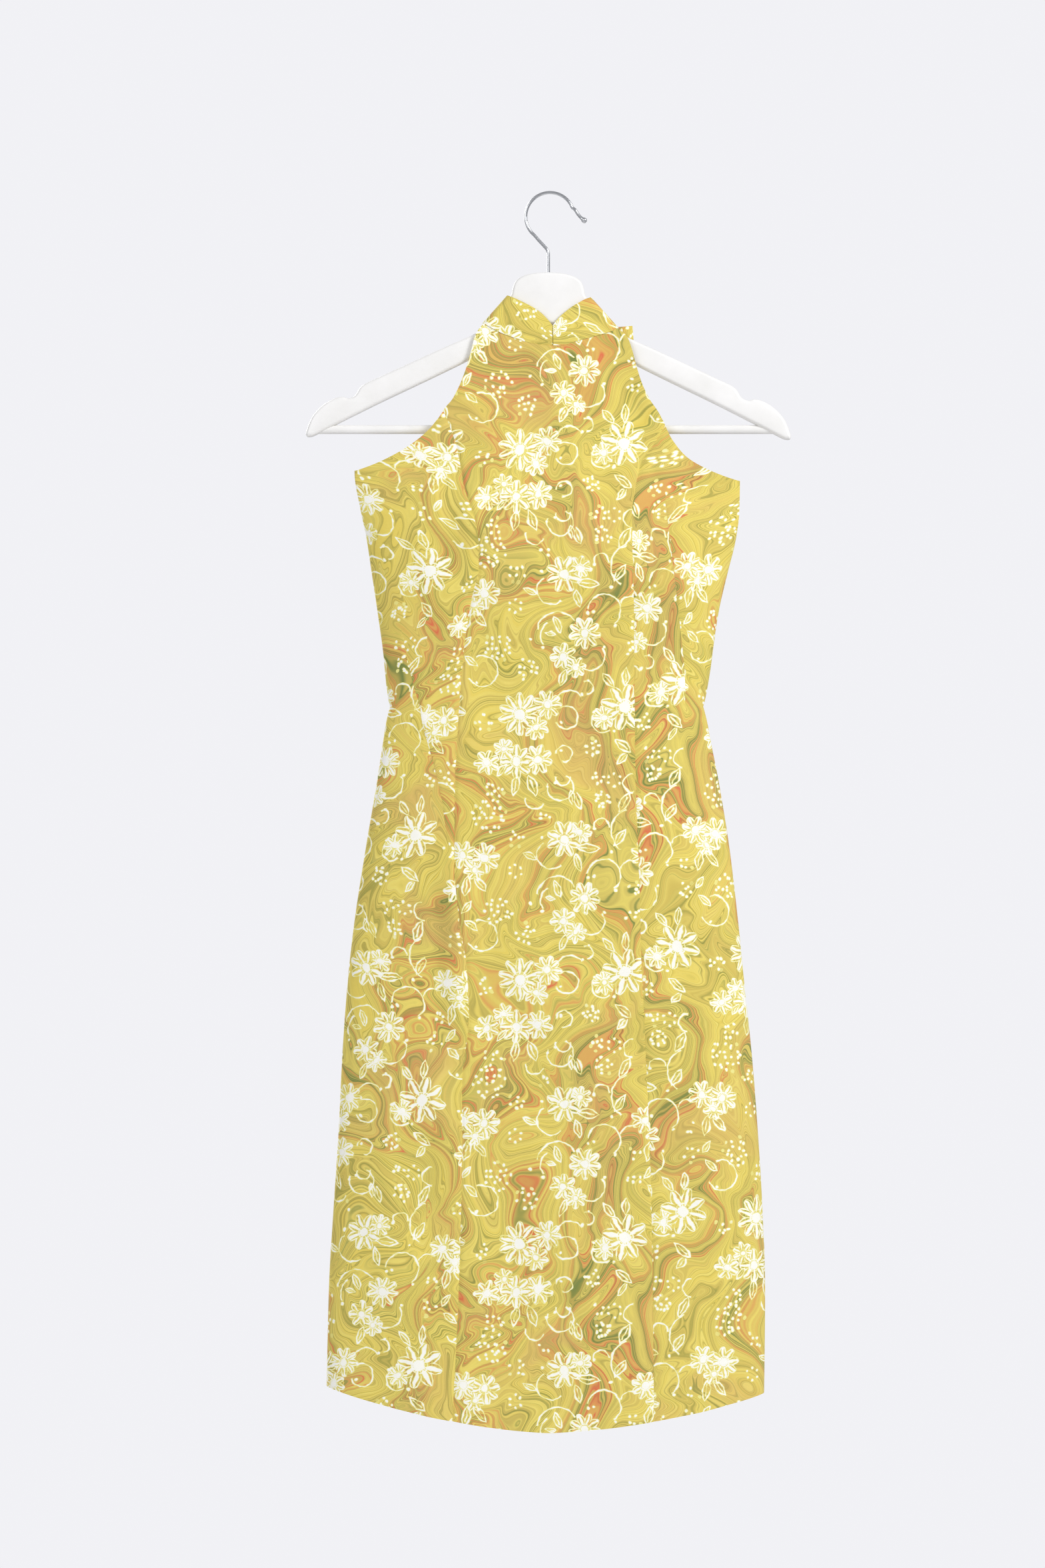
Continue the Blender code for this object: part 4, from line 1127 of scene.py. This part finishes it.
def hangerHook():
    shape = hookShape
    angle = np.radians(np.linspace(*shape["arc"], 25))
    x = shape["centre"][0] + shape["radius"] * np.cos(angle)
    z = shape["centre"][1] + shape["radius"] * np.sin(angle)
    arc = np.stack([x, z, np.ones(25)], 1)
    knots = np.vstack([shape["stem"], arc, shape["tip"]])
    length = pathLength(knots[:, :2])
    at = np.linspace(0, length[-1], 220)
    x, z, radius = (through(length, knots[:, k], at) for k in range(3))
    path = np.stack([x, np.zeros(len(at)), z], 1)
    made = addTube("hangerHook", path, radius * shape["wire"], wireMaterial, sides=20)
    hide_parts("hanger_hook")


hangerHook()
print("hanger done")

# ---- zip


def zipTapeCloth():  # polyester tape, plain woven in a dull olive: matt with fine cross ribs
    made, tree = newMaterial("wovenZipTape")
    ribs = wave(tree, addNode(tree, "TexCoord", out="Object"), 400.0, "Z")
    colour = mixed(tree, ribs, linear("#8B8038"), linear("#A39645"))
    bump = addNode(tree, "Bump", {"Strength": 0.3, "Distance": 0.0001, "Height": ribs})
    sockets = {"Base Color": colour, "Roughness": 0.8, "Normal": bump, "Specular IOR Level": 0.3}
    return finishMaterial(made, sockets)


def zipNylon():  # nylon coil: smooth moulded filament with a soft shine
    made, tree = newMaterial("nylonCoil")
    speck = noise(tree, addNode(tree, "TexCoord", out="Object"), 1500.0, 2.0)
    rough = ranged(tree, speck, (0.3, 0.7, 0.35, 0.5))
    return finishMaterial(made, {"Base Color": linear("#B5A850"), "Roughness": rough})


def zipMetal():  # nickel-plated zinc casting, worn a little yellow where fingers touch it
    made, tree = newMaterial("platedZincCasting")
    wear = noise(tree, addNode(tree, "TexCoord", out="Object"), 400.0, 3.0)
    colour = mixed(tree, wear, linear("#B9B2A0"), linear("#A8905E"))
    rough = ranged(tree, wear, (0.3, 0.7, 0.22, 0.4))
    return finishMaterial(made, {"Base Color": colour, "Metallic": 1.0, "Roughness": rough})


tapeMaterial, coilMaterial, pullMaterial = zipTapeCloth(), zipNylon(), zipMetal()
for node, material in (
    ("zip_tape", tapeMaterial),
    ("zip_slider", pullMaterial),
    ("zip_pull", pullMaterial),
):
    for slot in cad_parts[node].material_slots:
        slot.material = material

zipShape = {"pitch": 1.6, "half": 1.1, "wire": 0.32, "proud": 0.35}


# A flattened coil down the tape: x = half * cos a, y = proud * (1 + sin a), and z falls with a
def zipCoil():
    shape = zipShape
    top = backTop(0, 1.0) - 1.0
    share = dressShape["zipRows"] / (dressShape["rows"] - 1)
    bottom = blend(backTop(0, 1.0), hemZ(0, middleX(dressShape["hemSide"][0])), share)
    turns = int((top - bottom) / shape["pitch"])
    a = np.linspace(0, turns * 2 * np.pi, turns * 10 + 1)
    z = blend(top, bottom, a / a[-1])
    x = middleX(z) + shape["half"] * np.cos(a)
    y = faceDepth(-1, middleX(z), z) + shape["wire"] + 0.05 + shape["proud"] * (1 + np.sin(a))
    path = np.stack([x, y, z], 1)
    made = addTube("zipCoil", path, shape["wire"], coilMaterial, sideways=(0, 0, 1), sides=6)


zipCoil()
print("zip done")

# ---- stitches


def stitchThread():  # mercerised cotton: two twisted plies, a soft sheen
    made, tree = newMaterial("cottonThread")
    twist = wave(tree, addNode(tree, "TexCoord", out="Object"), 300.0, "DIAGONAL")
    colour = mixed(tree, twist, linear("#C9B24A"), linear("#DDC95F"))
    return finishMaterial(made, {"Base Color": colour, "Roughness": 0.6, "Sheen Weight": 0.2})


threadMaterial = stitchThread()

stitchShape = {
    "length": 2.6,
    "gap": 1.4,
    "radius": 0.22,
    "rise": 0.3,
    "sunk": 0.1,
    "sides": 6,
    "rings": 5,
    "offSeam": 6.0,  # from a side seam to the hem's first stitch
    "offZip": 7.0,
    "zipEnd": -640.0,
}


# Stitches along a line of points: each is a short tube that rises as sin(pi t) between two holes
def addStitches(name, line, outward):
    shape = stitchShape
    step = pathLength(line)
    count = int(step[-1] / (shape["length"] + shape["gap"]))
    start = np.arange(count) * (shape["length"] + shape["gap"])
    t = np.linspace(0, 1, shape["rings"])
    at = start[:, None] + t * shape["length"]
    path = np.stack([np.interp(at, step, line[:, k]) for k in range(3)], -1)
    out = np.stack([np.interp(at, step, outward[:, k]) for k in range(3)], -1)
    path = path + out * (shape["rise"] * np.sin(np.pi * t) - shape["sunk"])[:, None]
    along = np.gradient(path, axis=1)
    along /= np.linalg.norm(along, axis=2, keepdims=True)
    second = np.cross(along, out)
    angle = np.arange(shape["sides"]) * 2 * np.pi / shape["sides"]
    ring = out[:, :, None] * np.cos(angle)[:, None] + second[:, :, None] * np.sin(angle)[:, None]
    taper = shape["radius"] * (0.55 + 0.45 * np.sin(np.pi * t))
    points = path[:, :, None] + ring * taper[:, None, None]
    rings, sides = shape["rings"], shape["sides"]
    tube = np.roll(tubeFaces(rings, sides)[:, ::-1], 1, 1)
    base = np.arange(count)[:, None, None] * rings * sides
    faces = (tube[None] + base).reshape(-1, 4).tolist()
    caps = np.stack([np.arange(sides), (rings - 1) * sides + np.arange(sides)[::-1]])
    faces += (caps[None] + base).reshape(-1, sides).tolist()
    addMesh(name, points, faces, threadMaterial)


def hemStitches(face, name):
    off = stitchShape["offSeam"]
    x = np.linspace(sideX(0, -1050.0) + off, sideX(1, -1050.0) - off, 160)
    middle = middleX(dressShape["hemSide"][0])
    z = np.where(x < middle, hemZ(0, x), hemZ(1, x)) + hemTurn["height"]
    y = faceDepth(face, x, z) + face * hemTurn["dip"]
    addStitches(name, np.stack([x, y, z], 1), np.tile([0.0, -face, 0.0], (len(x), 1)))


hemStitches(1, "hemStitchesFront")
hemStitches(-1, "hemStitchesBack")
for sign, name in ((-1, "zipStitchesLeft"), (1, "zipStitchesRight")):
    z = np.linspace(backTop(0, 1.0) - 4, stitchShape["zipEnd"], 80)
    x = middleX(z) + sign * stitchShape["offZip"]
    y = faceDepth(-1, x, z)
    addStitches(name, np.stack([x, y, z], 1), np.tile([0.0, 1.0, 0.0], (80, 1)))
print("stitches done")

# ---- floor, light and camera

# in metres but for the photo's scale and its height in pixels. At planeY, the yoke's depth, the
# camera shows that scale. The world's strength is lower to the light than to the camera.
sceneShape = {
    "floorZ": -1.6,
    "floorRadius": 1.72,
    "mmPerPixel": 0.5895,
    "photoHeight": 2352,
    "sensor": 36.0,
    "distance": 3.3,
    "planeY": -0.012,
    "centre": (-0.0242, -0.5235),
    "toLight": 0.50,
    "toCamera": 0.94,
    # area lights: place, size, power in watts
    "lamps": {
        "keyLight": ((2.2, -1.9, 1.2), 1.0, 66.0),
        "fillLight": ((-1.7, -2.6, 0.5), 1.8, 25.0),
        "backLight": ((-1.6, 2.3, 0.9), 1.4, 62.0),
    },
    "aim": (0.0, 0.0, -0.55),
}


def paleFloor():  # smooth painted board: pale and matt, with a faint change of roughness
    made, tree = newMaterial("paleFloor")
    speck = noise(tree, addNode(tree, "TexCoord", out="Object"), 30.0, 3.0)
    rough = ranged(tree, speck, (0.3, 0.7, 0.6, 0.75))
    return finishMaterial(made, {"Base Color": linear("#E4E4E6"), "Roughness": rough})


def studio():
    shape = sceneShape
    scene = bpy.context.scene
    angle = np.arange(128) * 2 * np.pi / 128  # a disc, its edge at radius * (cos a, sin a)
    edge = np.stack([np.cos(angle), np.sin(angle), 0 * angle], 1) * shape["floorRadius"]
    mesh = bpy.data.meshes.new("floor")
    mesh.from_pydata((edge + (0, 0, shape["floorZ"])).tolist(), [], [list(range(128))])
    mesh.materials.append(paleFloor())
    floor = bpy.data.objects.new("floor", mesh)
    scene.collection.objects.link(floor)

    # nearly white to the camera but dimmer as light, so that the lamps' shading still shows
    world = bpy.data.worlds.new("paleRoom")
    world.use_nodes = True
    tree = world.node_tree
    tree.nodes.clear()
    seen = addNode(tree, "LightPath", out=0)
    strength = ranged(tree, seen, (0.0, 1.0, shape["toLight"], shape["toCamera"]))
    sky = addNode(tree, "Background", {0: linear("#F8F8FC"), 1: strength})
    addNode(tree, "OutputWorld", (sky,))
    scene.world = world
    scene.view_settings.view_transform = "Standard"

    for name, (place, size, power) in shape["lamps"].items():
        lamp = bpy.data.lights.new(name, "AREA")
        lamp.size, lamp.energy = size, power
        light = bpy.data.objects.new(name, lamp)
        light.location = place
        aim = Vector(shape["aim"]) - Vector(place)
        light.rotation_euler = aim.to_track_quat("-Z", "Y").to_euler()
        scene.collection.objects.link(light)

    camera = bpy.data.cameras.new("camera")
    camera.sensor_fit = "AUTO"
    camera.sensor_width = shape["sensor"]
    high = shape["photoHeight"] * shape["mmPerPixel"] * mm
    camera.lens = shape["sensor"] * (shape["distance"] + shape["planeY"]) / high
    view = bpy.data.objects.new("camera", camera)
    view.location = (shape["centre"][0], -shape["distance"], shape["centre"][1])
    view.rotation_euler = (np.pi / 2, 0, 0)
    scene.collection.objects.link(view)
    scene.camera = view


studio()
